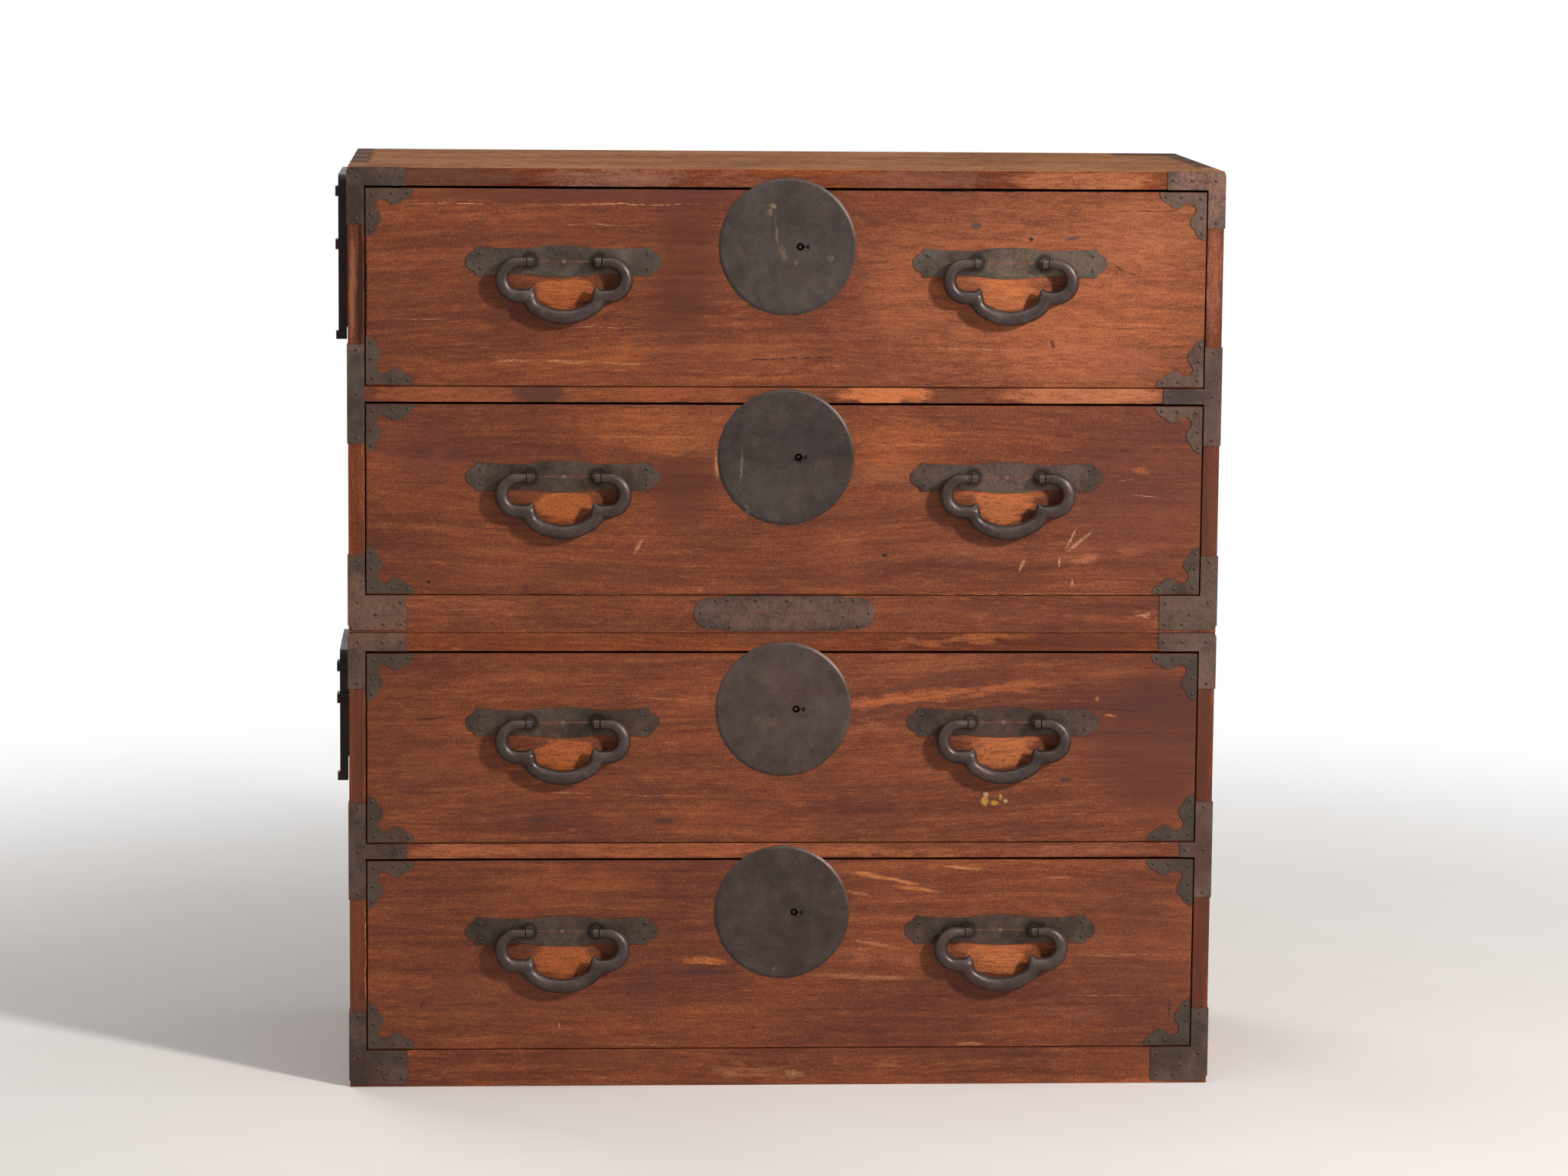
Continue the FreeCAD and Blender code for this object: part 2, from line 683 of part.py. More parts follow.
def drawer(number, floor, opening):
    """One drawer in the opening that starts at the height floor."""
    name = "drawer_%d" % number
    width = "(%s - 2 * drawer_side_gap)" % INNER_WIDTH
    front_low = "%s + drawer_bottom_gap" % floor
    front_tall = "%s - drawer_top_gap - drawer_bottom_gap" % opening
    front_top = "%s + %s - drawer_top_gap" % (floor, opening)
    wall_low = "%s + running_gap + drawer_bottom_thick" % floor
    box_front = FRONT + " + front_lap"
    rear = BACK + " - back_thick - drawer_rear_gap"
    depth = "(case_depth - back_thick - drawer_rear_gap - front_lap)"
    lock = "%s + %s - lock_%d_drop" % (floor, opening, number)
    handle = "%s + %s - handle_%d_drop" % (floor, opening, number)

    blank = beam(name + "_blank", width, "front_thick", front_tall, FRONT, front_low)
    doc.recompute()
    eased = doc.addObject("Part::Chamfer", name + "_eased")
    eased.Base = blank
    face = blank.Shape.BoundBox.YMin + S.front_chamfer
    eased.Edges = [(index, S.front_chamfer, S.front_chamfer)
                   for index, edge in enumerate(blank.Shape.Edges, start=1)
                   if edge.BoundBox.YMax < face]
    lap = "front_thick - front_lap"
    tools = [
        box(name + "_left_lap", "drawer_side_thick", lap, front_tall,
            "-%s / 2" % width, box_front, front_low),
        box(name + "_right_lap", "drawer_side_thick", lap, front_tall,
            "%s / 2 - drawer_side_thick" % width, box_front, front_low),
        beam(name + "_floor_lap", width, lap,
             "running_gap + drawer_bottom_thick - drawer_bottom_gap", box_front, front_low),
        rod(name + "_key_bore", "keyhole_radius", "front_thick", "keyhole_offset",
            FRONT + " + front_thick", lock),
    ]
    for word, x in handle_post_places():
        tools.append(rod("%s_post_hole_%s" % (name, word), "post_shank_radius", "front_thick",
                         x, FRONT + " + front_thick", handle))
    node(name + "_front", cut(name + "_front_board", eased, tools))

    side_tall = "%s - %s - drawer_side_drop" % (front_top, "(%s)" % wall_low)
    node_group(name + "_sides", [
        box(name + "_left_side", "drawer_side_thick", depth, side_tall, "-%s / 2" % width,
            box_front, wall_low),
        box(name + "_right_side", "drawer_side_thick", depth, side_tall,
            "%s / 2 - drawer_side_thick" % width, box_front, wall_low),
    ])
    node(name + "_back", beam(name + "_back_board", "(%s - 2 * drawer_side_thick)" % width,
                              "drawer_back_thick", side_tall + " - drawer_back_drop",
                              rear + " - drawer_back_thick", wall_low))
    node(name + "_bottom", beam(name + "_bottom_board", width, depth, "drawer_bottom_thick",
                                box_front, floor + " + running_gap"))
    lock_parts(name, lock, front_top)
    handle_mounts(name, handle)
    corner_irons(name, width, front_low, front_top)
    for word, sign in (("left", "-"), ("right", "")):
        bail("%s_bail_%s" % (name, word), sign + "handle_spacing / 2", handle)


def handle_post_places():
    """Name and x of the four posts of a drawer."""
    places = []
    for word, sign in (("left", "-"), ("right", "")):
        for end, post_sign in (("outer", "-"), ("inner", "+")):
            x = "%shandle_spacing / 2 %s post_spacing / 2" % (sign, post_sign)
            places.append(("%s_%s" % (word, end), x))
    return places


def lock_parts(name, lock, front_top):
    """Round plate, lock case with its key pin, and the bolt."""
    rim = rod(name + "_lock_rim", "lock_plate_radius", "lock_plate_edge", "0", FRONT, lock)
    face = doc.addObject("Part::Cone", name + "_lock_face")
    bind(face, Radius1="lock_plate_radius", Radius2="lock_plate_radius - lock_plate_bevel",
         Height="lock_plate_thick - lock_plate_edge")
    place(face, "0", FRONT + " - lock_plate_edge", lock, OUTWARDS)
    disc = joined(name + "_lock_disc", [rim, face])
    slot = doc.addObject("PartDesign::Body", name + "_key_slot")
    neck = S.key_slot_neck
    tip = S.key_slot_end
    reach = S.key_slot_reach
    pad(slot, "XZ_Plane", name + "_key_slot",
        polygon([(0, -neck), (reach / 2, -neck / 2), (reach, -tip), (reach, tip),
                 (reach / 2, neck / 2), (0, neck)]), "lock_plate_thick")
    place(slot, "keyhole_offset", FRONT, lock)
    keyhole = rod(name + "_keyhole", "keyhole_radius", "lock_plate_thick", "keyhole_offset",
                  FRONT, lock)
    plate = cut(name + "_lock_plate", disc, [keyhole, slot])

    behind = FRONT + " + front_thick"
    low = "%s - lock_case_height / 2" % lock
    shell = beam(name + "_lock_shell", "lock_case_width", "lock_case_thick", "lock_case_height",
                 behind, low)
    pin = rod(name + "_key_pin", "key_pin_radius", "front_thick + lock_plate_edge",
              "keyhole_offset", behind, lock)
    bolt_low = "%s - bolt_tail" % lock
    cavity = beam(name + "_bolt_way", "(bolt_width + 2 * bolt_clearance)",
                  "bolt_thick + 2 * bolt_clearance",
                  "lock_case_height / 2 + bolt_tail", BOLT_Y + " - bolt_clearance", bolt_low)
    lock_case = cut(name + "_lock_case", joined(name + "_lock_body", [shell, pin]), [cavity])
    node_group(name + "_lock", [plate, lock_case])
    bolt_foot = "%s + running_gap" % bolt_low
    node(name + "_bolt", beam(name + "_bolt_bar", "bolt_width", "bolt_thick",
                              "%s - bolt_recess - (%s)" % (front_top, bolt_foot),
                              BOLT_Y, bolt_foot))


def handle_post(name, x, handle):
    """Stud through the drawer front: eye, neck, collar and shank in one piece."""
    shank = S.post_shank_radius
    collar = S.handle_plate_thick + S.post_collar_height
    eye_low = S.post_standoff - S.eye_radius * EYE_ROOT_SHARE
    inner = -S.front_thick - S.washer_thick
    clenched = inner - S.clench_height
    profile = [(0, clenched), (S.clench_radius * CLENCH_FACE_SHARE, clenched),
               (S.clench_radius, inner), (shank, inner), (shank, S.handle_plate_thick),
               (S.post_collar_radius, S.handle_plate_thick),
               (S.post_collar_radius * COLLAR_FACE_SHARE, collar), (S.post_neck_radius, collar),
               (S.post_neck_radius, eye_low), (0, eye_low)]
    body = doc.addObject("PartDesign::Body", name)
    turned = body.newObject("PartDesign::Revolution", name + "_turning")
    turned.Profile = sketch(body, "XZ_Plane", name + "_profile", polygon(profile))
    turned.ReferenceAxis = (turned.Profile[0], ["V_Axis"])
    turned.Angle = 360
    centre = (0, S.post_standoff)
    pad(body, "YZ_Plane", name + "_eye",
        [ring(centre, S.eye_radius), ring(centre, S.pin_radius + S.pin_clearance)],
        "eye_width", both_sides=True)
    return place(body, x, FRONT, handle, OUTWARDS)


def handle_mounts(name, handle):
    """Back plates, posts, washers and nails of both handles of a drawer."""
    parts = []
    post_x = S.post_spacing / 2
    half = S.handle_plate_length / 2
    tall = S.handle_plate_height / 2
    holes = [(across * half * WING_NAIL_SHARES[0], up * tall * WING_NAIL_SHARES[1])
             for across in (-1, 1) for up in (-1, 1)]
    rings = [ring(hole, S.nail_shank_radius) for hole in holes]
    rings += [ring((across * post_x, 0), S.post_shank_radius) for across in (-1, 1)]
    for word, sign in (("left", "-"), ("right", "")):
        x = sign + "handle_spacing / 2"
        title = "%s_plate_%s" % (name, word)
        body = doc.addObject("PartDesign::Body", title)
        pad(body, "XZ_Plane", title, wing_outline() + rings, "handle_plate_thick")
        strokes = taper_outlines(S.incised_length, S.incised_height, S.boss_radius)
        for count, stroke in enumerate(strokes):
            engrave(body, "%s_stroke_%d" % (title, count), stroke, "handle_plate_thick")
        pad(body, "XZ_Plane", title + "_boss", [ring((0, 0), S.boss_radius)],
            "handle_plate_thick + boss_height")
        place(body, x, FRONT, handle)
        parts.append(body)
        parts.append(nails(title + "_nails", holes, S.handle_plate_thick, x, FRONT, handle))
    behind = FRONT + " + front_thick"
    for word, x in handle_post_places():
        parts.append(handle_post("%s_post_%s" % (name, word), x, handle))
        blank = rod("%s_washer_blank_%s" % (name, word), "washer_radius", "washer_thick", x,
                    behind + " + washer_thick", handle)
        hole = rod("%s_washer_hole_%s" % (name, word), "post_shank_radius", "washer_thick", x,
                   behind + " + washer_thick", handle)
        parts.append(cut("%s_washer_%s" % (name, word), blank, [hole]))
    node_group(name + "_handle_mounts", parts)


def corner_irons(name, width, low, top):
    """Four scalloped irons just inside the corners of a drawer front."""
    parts = []
    inset = "front_chamfer + corner_iron_margin"
    for word, side in (("left", 1), ("right", -1)):
        sign = "-" if side > 0 else ""
        x = "%s(%s / 2 - %s)" % (sign, width, inset)
        for level, up in (("low", 1), ("high", -1)):
            z = "%s + %s" % (low, inset) if up > 0 else "%s - %s" % (top, inset)
            title = "%s_iron_%s_%s" % (name, word, level)
            span = S.corner_iron_span
            holes = [(side * span * along, up * span * wide)
                     for along, wide in CORNER_NAIL_SHARES]
            rings = [ring(hole, S.nail_shank_radius) for hole in holes]
            body = doc.addObject("PartDesign::Body", title)
            pad(body, "XZ_Plane", title, corner_outline(side, up) + rings, "iron_thick")
            place(body, x, FRONT, z)
            parts.append(body)
            parts.append(nails(title + "_nails", holes, S.iron_thick, x, FRONT, z))
    node_group(name + "_corner_irons", parts)


# Bails

def hoop(name, x, z, radius, turn):
    """A round section across the bar, at x and z in the plane of the bail."""
    circle = doc.addObject("Part::Circle", name)
    bind(circle, Radius=radius)
    circle.Placement = Placement(Vector(x, 0, z), turn)
    return circle


def sweep(name, edges, sections):
    """A bar that follows edges and takes its thickness from its sections."""
    spine = doc.addObject("Part::Feature", name + "_spine")
    spine.Shape = Part.Wire([edge.toShape() for edge in edges])
    bar = doc.addObject("Part::Sweep", name)
    bar.Sections = sections
    bar.Spine = (spine, ["Edge%d" % (count + 1) for count in range(len(edges))])
    bar.Solid = True
    bar.Frenet = False
    return bar


def flat_arc(start, middle, end):
    points = [Vector(x, 0, z) for x, z in (start, middle, end)]
    return Part.Arc(*points)


def flat_line(start, end):
    return Part.LineSegment(Vector(start[0], 0, start[1]), Vector(end[0], 0, end[1]))


def grip_path(cusp_x, cusp_z):
    """Wide U from cusp to cusp: two tight knees on one broad bottom curve."""
    broad = S.bail_grip_turn
    knee = S.bail_knee_turn
    broad_z = broad - S.bail_drop
    knee_x = cusp_x - knee
    knee_z = broad_z - math.sqrt((broad - knee) ** 2 - knee_x ** 2)
    lean = math.atan2(broad_z - knee_z, knee_x)
    right = [(cusp_x, cusp_z), (cusp_x, knee_z),
             (knee_x + knee * math.cos(lean / 2), knee_z - knee * math.sin(lean / 2)),
             (broad * math.cos(lean), broad_z - broad * math.sin(lean))]
    left = [(-across, up) for across, up in right]
    return [flat_line(right[0], right[1]), flat_arc(right[1], right[2], right[3]),
            flat_arc(right[3], (0, -S.bail_drop), left[3]),
            flat_arc(left[3], left[2], left[1]), flat_line(left[1], left[0])]


def spur(name, x, z, run, rise):
    """Pointed tip drawn out of the round of a cusp."""
    reach = math.hypot(run, rise)
    sine = S.bail_cusp_radius / reach
    root = S.bail_cusp_radius * sine
    cone = doc.addObject("Part::Cone", name)
    bind(cone, Radius2="spur_tip_radius")
    cone.Radius1 = S.bail_cusp_radius * math.sqrt(1 - sine ** 2) * SPUR_ROOT_SHARE
    cone.Height = reach - root
    foot = Vector(x + run * root / reach, 0, z + rise * root / reach)
    cone.Placement = Placement(foot, Rotation(Vector(0, 0, 1), Vector(run, 0, rise)))
    return cone


def bail(label, x, handle):
    """Lobed drop bail that hangs from two eyes, its pins in line with x."""
    across = Rotation(Vector(0, 1, 0), 90)
    upright = Rotation()
    start = S.post_spacing / 2 + S.eye_width / 2 + S.pin_side_gap + S.pin_collar_width
    cusp_x = S.bail_cusp_spacing / 2
    lobe_x = S.bail_width / 2 - S.bail_lobe_radius
    lobe = S.bail_lobe_turn
    shoulder = lobe_x - lobe
    cusp_z = -2 * lobe
    pieces = []
    for word, side in (("left", -1), ("right", 1)):
        title = "%s_%s" % (label, word)
        edges = [
            flat_line((side * start, 0), (side * shoulder, 0)),
            flat_arc((side * shoulder, 0), (side * lobe_x, -lobe), (side * shoulder, cusp_z)),
            flat_line((side * shoulder, cusp_z), (side * cusp_x, cusp_z)),
        ]
        sections = [hoop(title + "_end", side * start, 0, "bail_end_radius", across),
                    hoop(title + "_bend", side * lobe_x, -lobe, "bail_lobe_radius", upright),
                    hoop(title + "_cusp_end", side * cusp_x, cusp_z, "bail_cusp_radius", across)]
        pieces.append(sweep(title + "_lobe", edges, sections))
        ball = doc.addObject("Part::Sphere", title + "_cusp_ball")
        bind(ball, Radius="bail_cusp_radius")
        ball.Placement = Placement(Vector(side * cusp_x, 0, cusp_z), upright)
        pieces.append(ball)
        pieces.append(spur(title + "_inner_spur", side * cusp_x, cusp_z,
                           -side * S.inner_spur_run, S.inner_spur_rise))
        pieces.append(spur(title + "_outer_spur", side * cusp_x, cusp_z,
                           side * S.outer_spur_run, -S.outer_spur_drop))
        pieces += bail_pin(title, side)
    sections = [hoop(label + "_grip_right", cusp_x, cusp_z, "bail_cusp_radius", upright),
                hoop(label + "_grip_middle", 0, -S.bail_drop, "bail_grip_radius", across),
                hoop(label + "_grip_left", -cusp_x, cusp_z, "bail_cusp_radius", upright)]
    pieces.append(sweep(label + "_grip", grip_path(cusp_x, cusp_z), sections))
    bar = joined(label + "_bar", pieces)
    place(bar, x, FRONT + " - post_standoff", handle)
    return node(label, bar)


def bail_pin(title, side):
    """Pin, collar and head that turn in one eye."""
    turn = Rotation(Vector(0, 1, 0), 90 * side)
    reach = S.post_spacing / 2 + S.eye_width / 2 + S.pin_side_gap
    inner = S.post_spacing / 2 - S.eye_width / 2 - S.pin_side_gap
    pieces = []
    for word, radius, width, at in (
            ("pin", "pin_radius", "pin_head_width + eye_width + 2 * pin_side_gap + pin_collar_width",
             inner - S.pin_head_width),
            ("head", "pin_head_radius", "pin_head_width", inner - S.pin_head_width),
            ("collar", "pin_collar_radius", "pin_collar_width", reach)):
        piece = doc.addObject("Part::Cylinder", "%s_%s" % (title, word))
        bind(piece, Radius=radius, Height=width)
        piece.Placement = Placement(Vector(side * at, 0, 0), turn)
        pieces.append(piece)
    return pieces


# The whole chest

case_parts("lower", "0", LOWER_HEIGHT, "drawer_4_opening", "drawer_3_opening")
case_parts("upper", LOWER_HEIGHT, UPPER_HEIGHT, "drawer_2_opening", "drawer_1_opening")
case_irons("lower", "0", LOWER_HEIGHT, "drawer_4_opening",
           (S.case_iron_leg, S.short_tee_leg), [])
case_irons("upper", LOWER_HEIGHT, UPPER_HEIGHT, "drawer_2_opening",
           (S.side_thick, S.case_iron_leg), middle_plate(LOWER_HEIGHT))
pole_parts("lower", LOWER_HEIGHT, "lower_pole_iron_drop", "lower_pole_iron_height",
           "lower_pole_guide_pitch")
pole_parts("upper", LOWER_HEIGHT + " + " + UPPER_HEIGHT, "upper_pole_iron_drop",
           "upper_pole_iron_height", "upper_pole_guide_pitch")
drawer(4, "rail_height", "drawer_4_opening")
drawer(3, "rail_height + drawer_4_opening + shelf_thick", "drawer_3_opening")
drawer(2, LOWER_HEIGHT + " + rail_height", "drawer_2_opening")
drawer(1, LOWER_HEIGHT + " + rail_height + drawer_2_opening + shelf_thick", "drawer_1_opening")
doc.recompute()

# Every object has to be sound before anything is written
for item in doc.Objects:
    if "Invalid" in item.State or "Error" in item.State:
        raise RuntimeError("%s did not build: %s" % (item.Name, item.State))
for item in nodes:
    if item.Shape.isNull() or not item.Shape.isValid():
        raise RuntimeError("%s has no sound shape" % item.Label)

os.makedirs("parts", exist_ok=True)
for item in nodes:
    item.Shape.exportStep("parts/%s.step" % item.Label)
    print(item.Label, len(item.Shape.Solids), round(item.Shape.Volume))
print(len(nodes), "nodes")
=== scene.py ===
import json
import math

import bmesh
import bpy
from mathutils import Matrix, Vector
from mathutils.bvhtree import BVHTree


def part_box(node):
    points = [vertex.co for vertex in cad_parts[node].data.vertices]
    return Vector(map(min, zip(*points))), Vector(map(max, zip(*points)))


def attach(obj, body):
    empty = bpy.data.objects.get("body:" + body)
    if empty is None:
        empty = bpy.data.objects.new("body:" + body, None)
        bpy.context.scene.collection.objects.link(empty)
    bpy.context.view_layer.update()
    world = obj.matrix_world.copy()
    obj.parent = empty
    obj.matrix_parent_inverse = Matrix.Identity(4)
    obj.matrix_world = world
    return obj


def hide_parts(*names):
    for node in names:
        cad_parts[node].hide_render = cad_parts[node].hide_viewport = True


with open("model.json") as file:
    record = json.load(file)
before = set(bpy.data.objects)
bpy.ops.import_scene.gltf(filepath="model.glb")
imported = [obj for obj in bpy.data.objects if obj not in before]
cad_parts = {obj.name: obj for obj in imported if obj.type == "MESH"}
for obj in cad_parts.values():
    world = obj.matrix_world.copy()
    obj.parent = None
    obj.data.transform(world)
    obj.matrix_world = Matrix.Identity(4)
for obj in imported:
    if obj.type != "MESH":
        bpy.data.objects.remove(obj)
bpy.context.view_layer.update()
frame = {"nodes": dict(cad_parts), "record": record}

nodes = frame["nodes"]
body_of = {node: body for body, members in frame["record"]["behaviour"]["bodies"].items()
           for node in members}
scene = bpy.context.scene

# Places in metres: the wood's front face, the cases' left side, the handles' middles, and how
# far each handle post is from its handle's middle
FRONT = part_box("lower_base_rails")[0].y
LEFT = -0.53
HANDLE_X = 0.27
HANDLE_Z = {1: 1.0175, 2: 0.7565, 3: 0.4545, 4: 0.195}
POST_X = 0.041


# Camera at the photograph's angle, fitted to the chest's corners

CAMERA_PLACE = (-0.3514, -6.0757, 1.4385)
CAMERA_TURN = (3.4188, 7.9257, 0.5186)
FOCAL_PX = 6356.1
PHOTO_WIDTH_PX = 2048
SENSOR_MM = 36
CAMERA_SIGHT = 60


def look_at_photo():
    yaw, pitch, roll = (math.radians(angle) for angle in CAMERA_TURN)
    ahead = Vector((math.sin(yaw) * math.cos(pitch), math.cos(yaw) * math.cos(pitch),
                    -math.sin(pitch)))
    level = Vector((math.cos(yaw), -math.sin(yaw), 0))
    rise = level.cross(ahead)
    right = level * math.cos(roll) + rise * math.sin(roll)
    up = rise * math.cos(roll) - level * math.sin(roll)
    data = bpy.data.cameras.new("Camera")
    data.sensor_width = SENSOR_MM
    data.lens = FOCAL_PX / PHOTO_WIDTH_PX * SENSOR_MM
    data.clip_end = CAMERA_SIGHT
    camera = bpy.data.objects.new("Camera", data)
    rows = [(right[i], up[i], -ahead[i], CAMERA_PLACE[i]) for i in range(3)]
    camera.matrix_world = Matrix(rows + [(0, 0, 0, 1)])
    scene.collection.objects.link(camera)
    scene.camera = camera


look_at_photo()


# Node helpers: every material is built from these

BUMP_STRENGTH = 0.3
ENDLESS = 1e6
MIX_SHARE, MIX_A, MIX_B, MIX_RESULT = 0, 6, 7, 2


def rgb(*values):
    """sRGB 0-255 to the linear colour that a shader takes."""
    linear = []
    for value in values:
        share = value / 255
        linear.append(share / 12.92 if share <= 0.04045 else ((share + 0.055) / 1.055) ** 2.4)
    return tuple(linear) + (1.0,)


class Paint:
    """A material's node tree, with short calls for the nodes that it uses."""

    def __init__(self, name):
        self.material = bpy.data.materials.new(name)
        self.material.use_nodes = True
        self.tree = self.material.node_tree
        self.shader = self.tree.nodes["Principled BSDF"]
        self.where = self.tree.nodes.new("ShaderNodeTexCoord").outputs["Object"]

    def node(self, kind, **settings):
        made = self.tree.nodes.new("ShaderNode" + kind)
        for name, value in settings.items():
            setattr(made, name, value)
        return made

    def feed(self, socket, value):
        if isinstance(value, bpy.types.NodeSocket):
            self.tree.links.new(value, socket)
        elif value is not None:
            socket.default_value = value

    def math(self, operation, a, b=None, c=None, clamp=False):
        made = self.node("Math", operation=operation, use_clamp=clamp)
        for socket, value in zip(made.inputs, (a, b, c)):
            self.feed(socket, value)
        return made.outputs[0]

    def plus(self, a, b):
        return self.math("ADD", a, b)

    def minus(self, a, b):
        return self.math("SUBTRACT", a, b)

    def times(self, a, b, clamp=False):
        return self.math("MULTIPLY", a, b, clamp=clamp)

    def weigh(self, *layers):
        """The sum of layers, each given with its share."""
        total = 0.0
        for layer, share in layers:
            total = self.math("MULTIPLY_ADD", layer, share, total)
        return total

    def vector(self, operation, a, b=None):
        made = self.node("VectorMath", operation=operation)
        self.feed(made.inputs[0], a)
        if operation == "SCALE":
            self.feed(made.inputs["Scale"], b)
        elif b is not None:
            self.feed(made.inputs[1], b)
        return made.outputs["Value" if operation == "LENGTH" else "Vector"]

    def stretch(self, vector, scale, shift=(0, 0, 0)):
        made = self.node("Mapping")
        self.feed(made.inputs["Vector"], vector)
        made.inputs["Scale"].default_value = scale
        made.inputs["Location"].default_value = shift
        return made.outputs[0]

    def noise(self, vector, scale=1.0, detail=3.0, rough=0.55, distort=0.0, output="Fac"):
        made = self.node("TexNoise")
        self.feed(made.inputs["Vector"], vector)
        made.inputs["Scale"].default_value = scale
        made.inputs["Detail"].default_value = detail
        made.inputs["Roughness"].default_value = rough
        made.inputs["Distortion"].default_value = distort
        return made.outputs[output]

    def shake(self, vector, detail, reach, scale=1.0):
        """The object's coordinates, moved by noise up to half of reach along each axis."""
        noise = self.noise(vector, scale, detail, 0.5, output="Color")
        push = self.vector("SUBTRACT", noise, (0.5, 0.5, 0.5))
        return self.vector("ADD", self.where, self.vector("SCALE", push, reach))

    def fit(self, value, low, high, to_low=0.0, to_high=1.0):
        made = self.node("MapRange", interpolation_type="SMOOTHSTEP")
        self.feed(made.inputs["Value"], value)
        for name, number in (("From Min", low), ("From Max", high), ("To Min", to_low),
                             ("To Max", to_high)):
            made.inputs[name].default_value = number
        return made.outputs[0]

    def ramp(self, value, stops):
        made = self.node("ValToRGB")
        self.feed(made.inputs[0], value)
        bar = made.color_ramp.elements
        while len(bar) < len(stops):
            bar.new(0.5)
        for element, (at, colour) in zip(bar, stops):
            element.position = at
            element.color = colour
        return made.outputs[0]

    def mix(self, share, a, b):
        made = self.node("Mix", data_type="RGBA", clamp_factor=True)
        self.feed(made.inputs[MIX_SHARE], share)
        self.feed(made.inputs[MIX_A], a)
        self.feed(made.inputs[MIX_B], b)
        return made.outputs[MIX_RESULT]

    def parts(self, vector):
        made = self.node("SeparateXYZ")
        self.feed(made.inputs[0], vector)
        return made.outputs

    def join(self, x, y, z):
        made = self.node("CombineXYZ")
        for socket, value in zip(made.inputs, (x, y, z)):
            self.feed(socket, value)
        return made.outputs[0]

    def oval(self, vector, x, z, wide, tall, turn, soft):
        """1 inside an oval on the front, 0 outside, in mm from the left side and the floor.

        wide and tall are half sizes, turn is in degrees, soft is the share that fades."""
        made = self.node("Mapping", vector_type="TEXTURE")
        self.feed(made.inputs["Vector"], vector)
        made.inputs["Location"].default_value = (LEFT + x / 1000, 0, z / 1000)
        made.inputs["Rotation"].default_value = (0, math.radians(-turn), 0)
        made.inputs["Scale"].default_value = (wide / 1000, ENDLESS, tall / 1000)
        return self.fit(self.vector("LENGTH", made.outputs[0]), 1.0, 1.0 - soft)

    def finish(self, colour, rough, height=None, distance=0.001, **plain):
        self.feed(self.shader.inputs["Base Color"], colour)
        self.feed(self.shader.inputs["Roughness"], rough)
        for name, value in plain.items():
            self.shader.inputs[name.replace("_", " ")].default_value = value
        if height is not None:
            bump = self.node("Bump")
            bump.inputs["Strength"].default_value = BUMP_STRENGTH
            bump.inputs["Distance"].default_value = distance
            self.feed(bump.inputs["Height"], height)
            self.feed(self.shader.inputs["Normal"], bump.outputs[0])
        return self.material


# Wood

RED = dict(dark=rgb(86, 42, 28), mid=rgb(111, 58, 35), light=rgb(136, 74, 42),
           glow=rgb(188, 107, 57))
INNER = dict(dark=rgb(134, 100, 72), mid=rgb(166, 128, 94), light=rgb(190, 152, 114),
             glow=rgb(206, 168, 128))
BACK = dict(dark=rgb(96, 62, 42), mid=rgb(124, 84, 57), light=rgb(146, 102, 70),
            glow=rgb(168, 120, 84))
GRIME = rgb(50, 27, 22)
DULL_RED = rgb(66, 32, 30)
BOARD_SHIFT = (1.37, 0.71, 2.13)
GRAIN_DRIFT = 0.06
RING_STRENGTH = 0.3
PORE_STRENGTH = 0.45
TINT_SHARE = 0.7
THICK_LINE = 5
PAD_STRENGTH = 0.8
DUST_ROUGHNESS = 0.4
# Marks fade out between these depths behind the front face, and dust lies above these heights,
# in metres
MARK_FULL, MARK_GONE = 0.002, 0.006
DUST_FROM, DUST_FULL = 1.126, 1.128
# The figure's layers: noise cells per metre along, through and across the grain, their shift,
# detail and roughness, and the layer's share of the tone
FIGURE = {
    "cloud": ((4, 6, 11), (0, 0, 0), 5.0, 0.6, 0.12),
    "mottle": ((18, 30, 95), (0, 0, 0), 5.0, 0.68, 0.13),
    "band": ((1.4, 8, 64), (2, 5, 3), 3.0, 0.6, 0.13),
    "long_figure": ((6, 40, 170), (4, 1, 2), 5.0, 0.7, 0.16),
    "streak": ((50, 110, 420), (0, 0, 0), 4.0, 0.7, 0.16),
    "fibre": ((240, 400, 1300), (0, 0, 0), 2.0, 0.6, 0.08),
    "speck": ((420, 600, 640), (0, 0, 0), 2.0, 0.6, 0.22),
}
OFF_GRAIN = ("cloud", "speck")
WOOD_STOPS = ((0.447, "dark"), (0.5, "mid"), (0.553, "light"), (0.625, "glow"))


def grain_space(p, grain, seed):
    """Coordinates with the grain along the first axis, moved to a board of their own."""
    x, y, z = p.parts(p.where)
    order = {"x": (x, y, z), "y": (y, x, z), "z": (z, y, x)}[grain]
    return p.stretch(p.join(*order), (1, 1, 1), [seed * share for share in BOARD_SHIFT])


def grow_figure(p, board, lean):
    """Coordinates that drift and lean as the grain does, the figure's layers and their tone."""
    along, thick, across = p.parts(board)
    drift = p.noise(p.stretch(board, (1.6, 3, 3.5)), 1.0, 2.0)
    across = p.plus(across, p.times(p.minus(drift, 0.5), GRAIN_DRIFT))
    across = p.plus(across, p.times(along, lean))
    grained = p.join(along, thick, across)
    figure, shares = {}, []
    for layer, (scale, shift, detail, rough, share) in FIGURE.items():
        space = board if layer in OFF_GRAIN else grained
        figure[layer] = p.noise(p.stretch(space, scale, shift), 1.0, detail, rough)
        shares.append((figure[layer], share))
    return grained, figure, p.weigh(*shares)


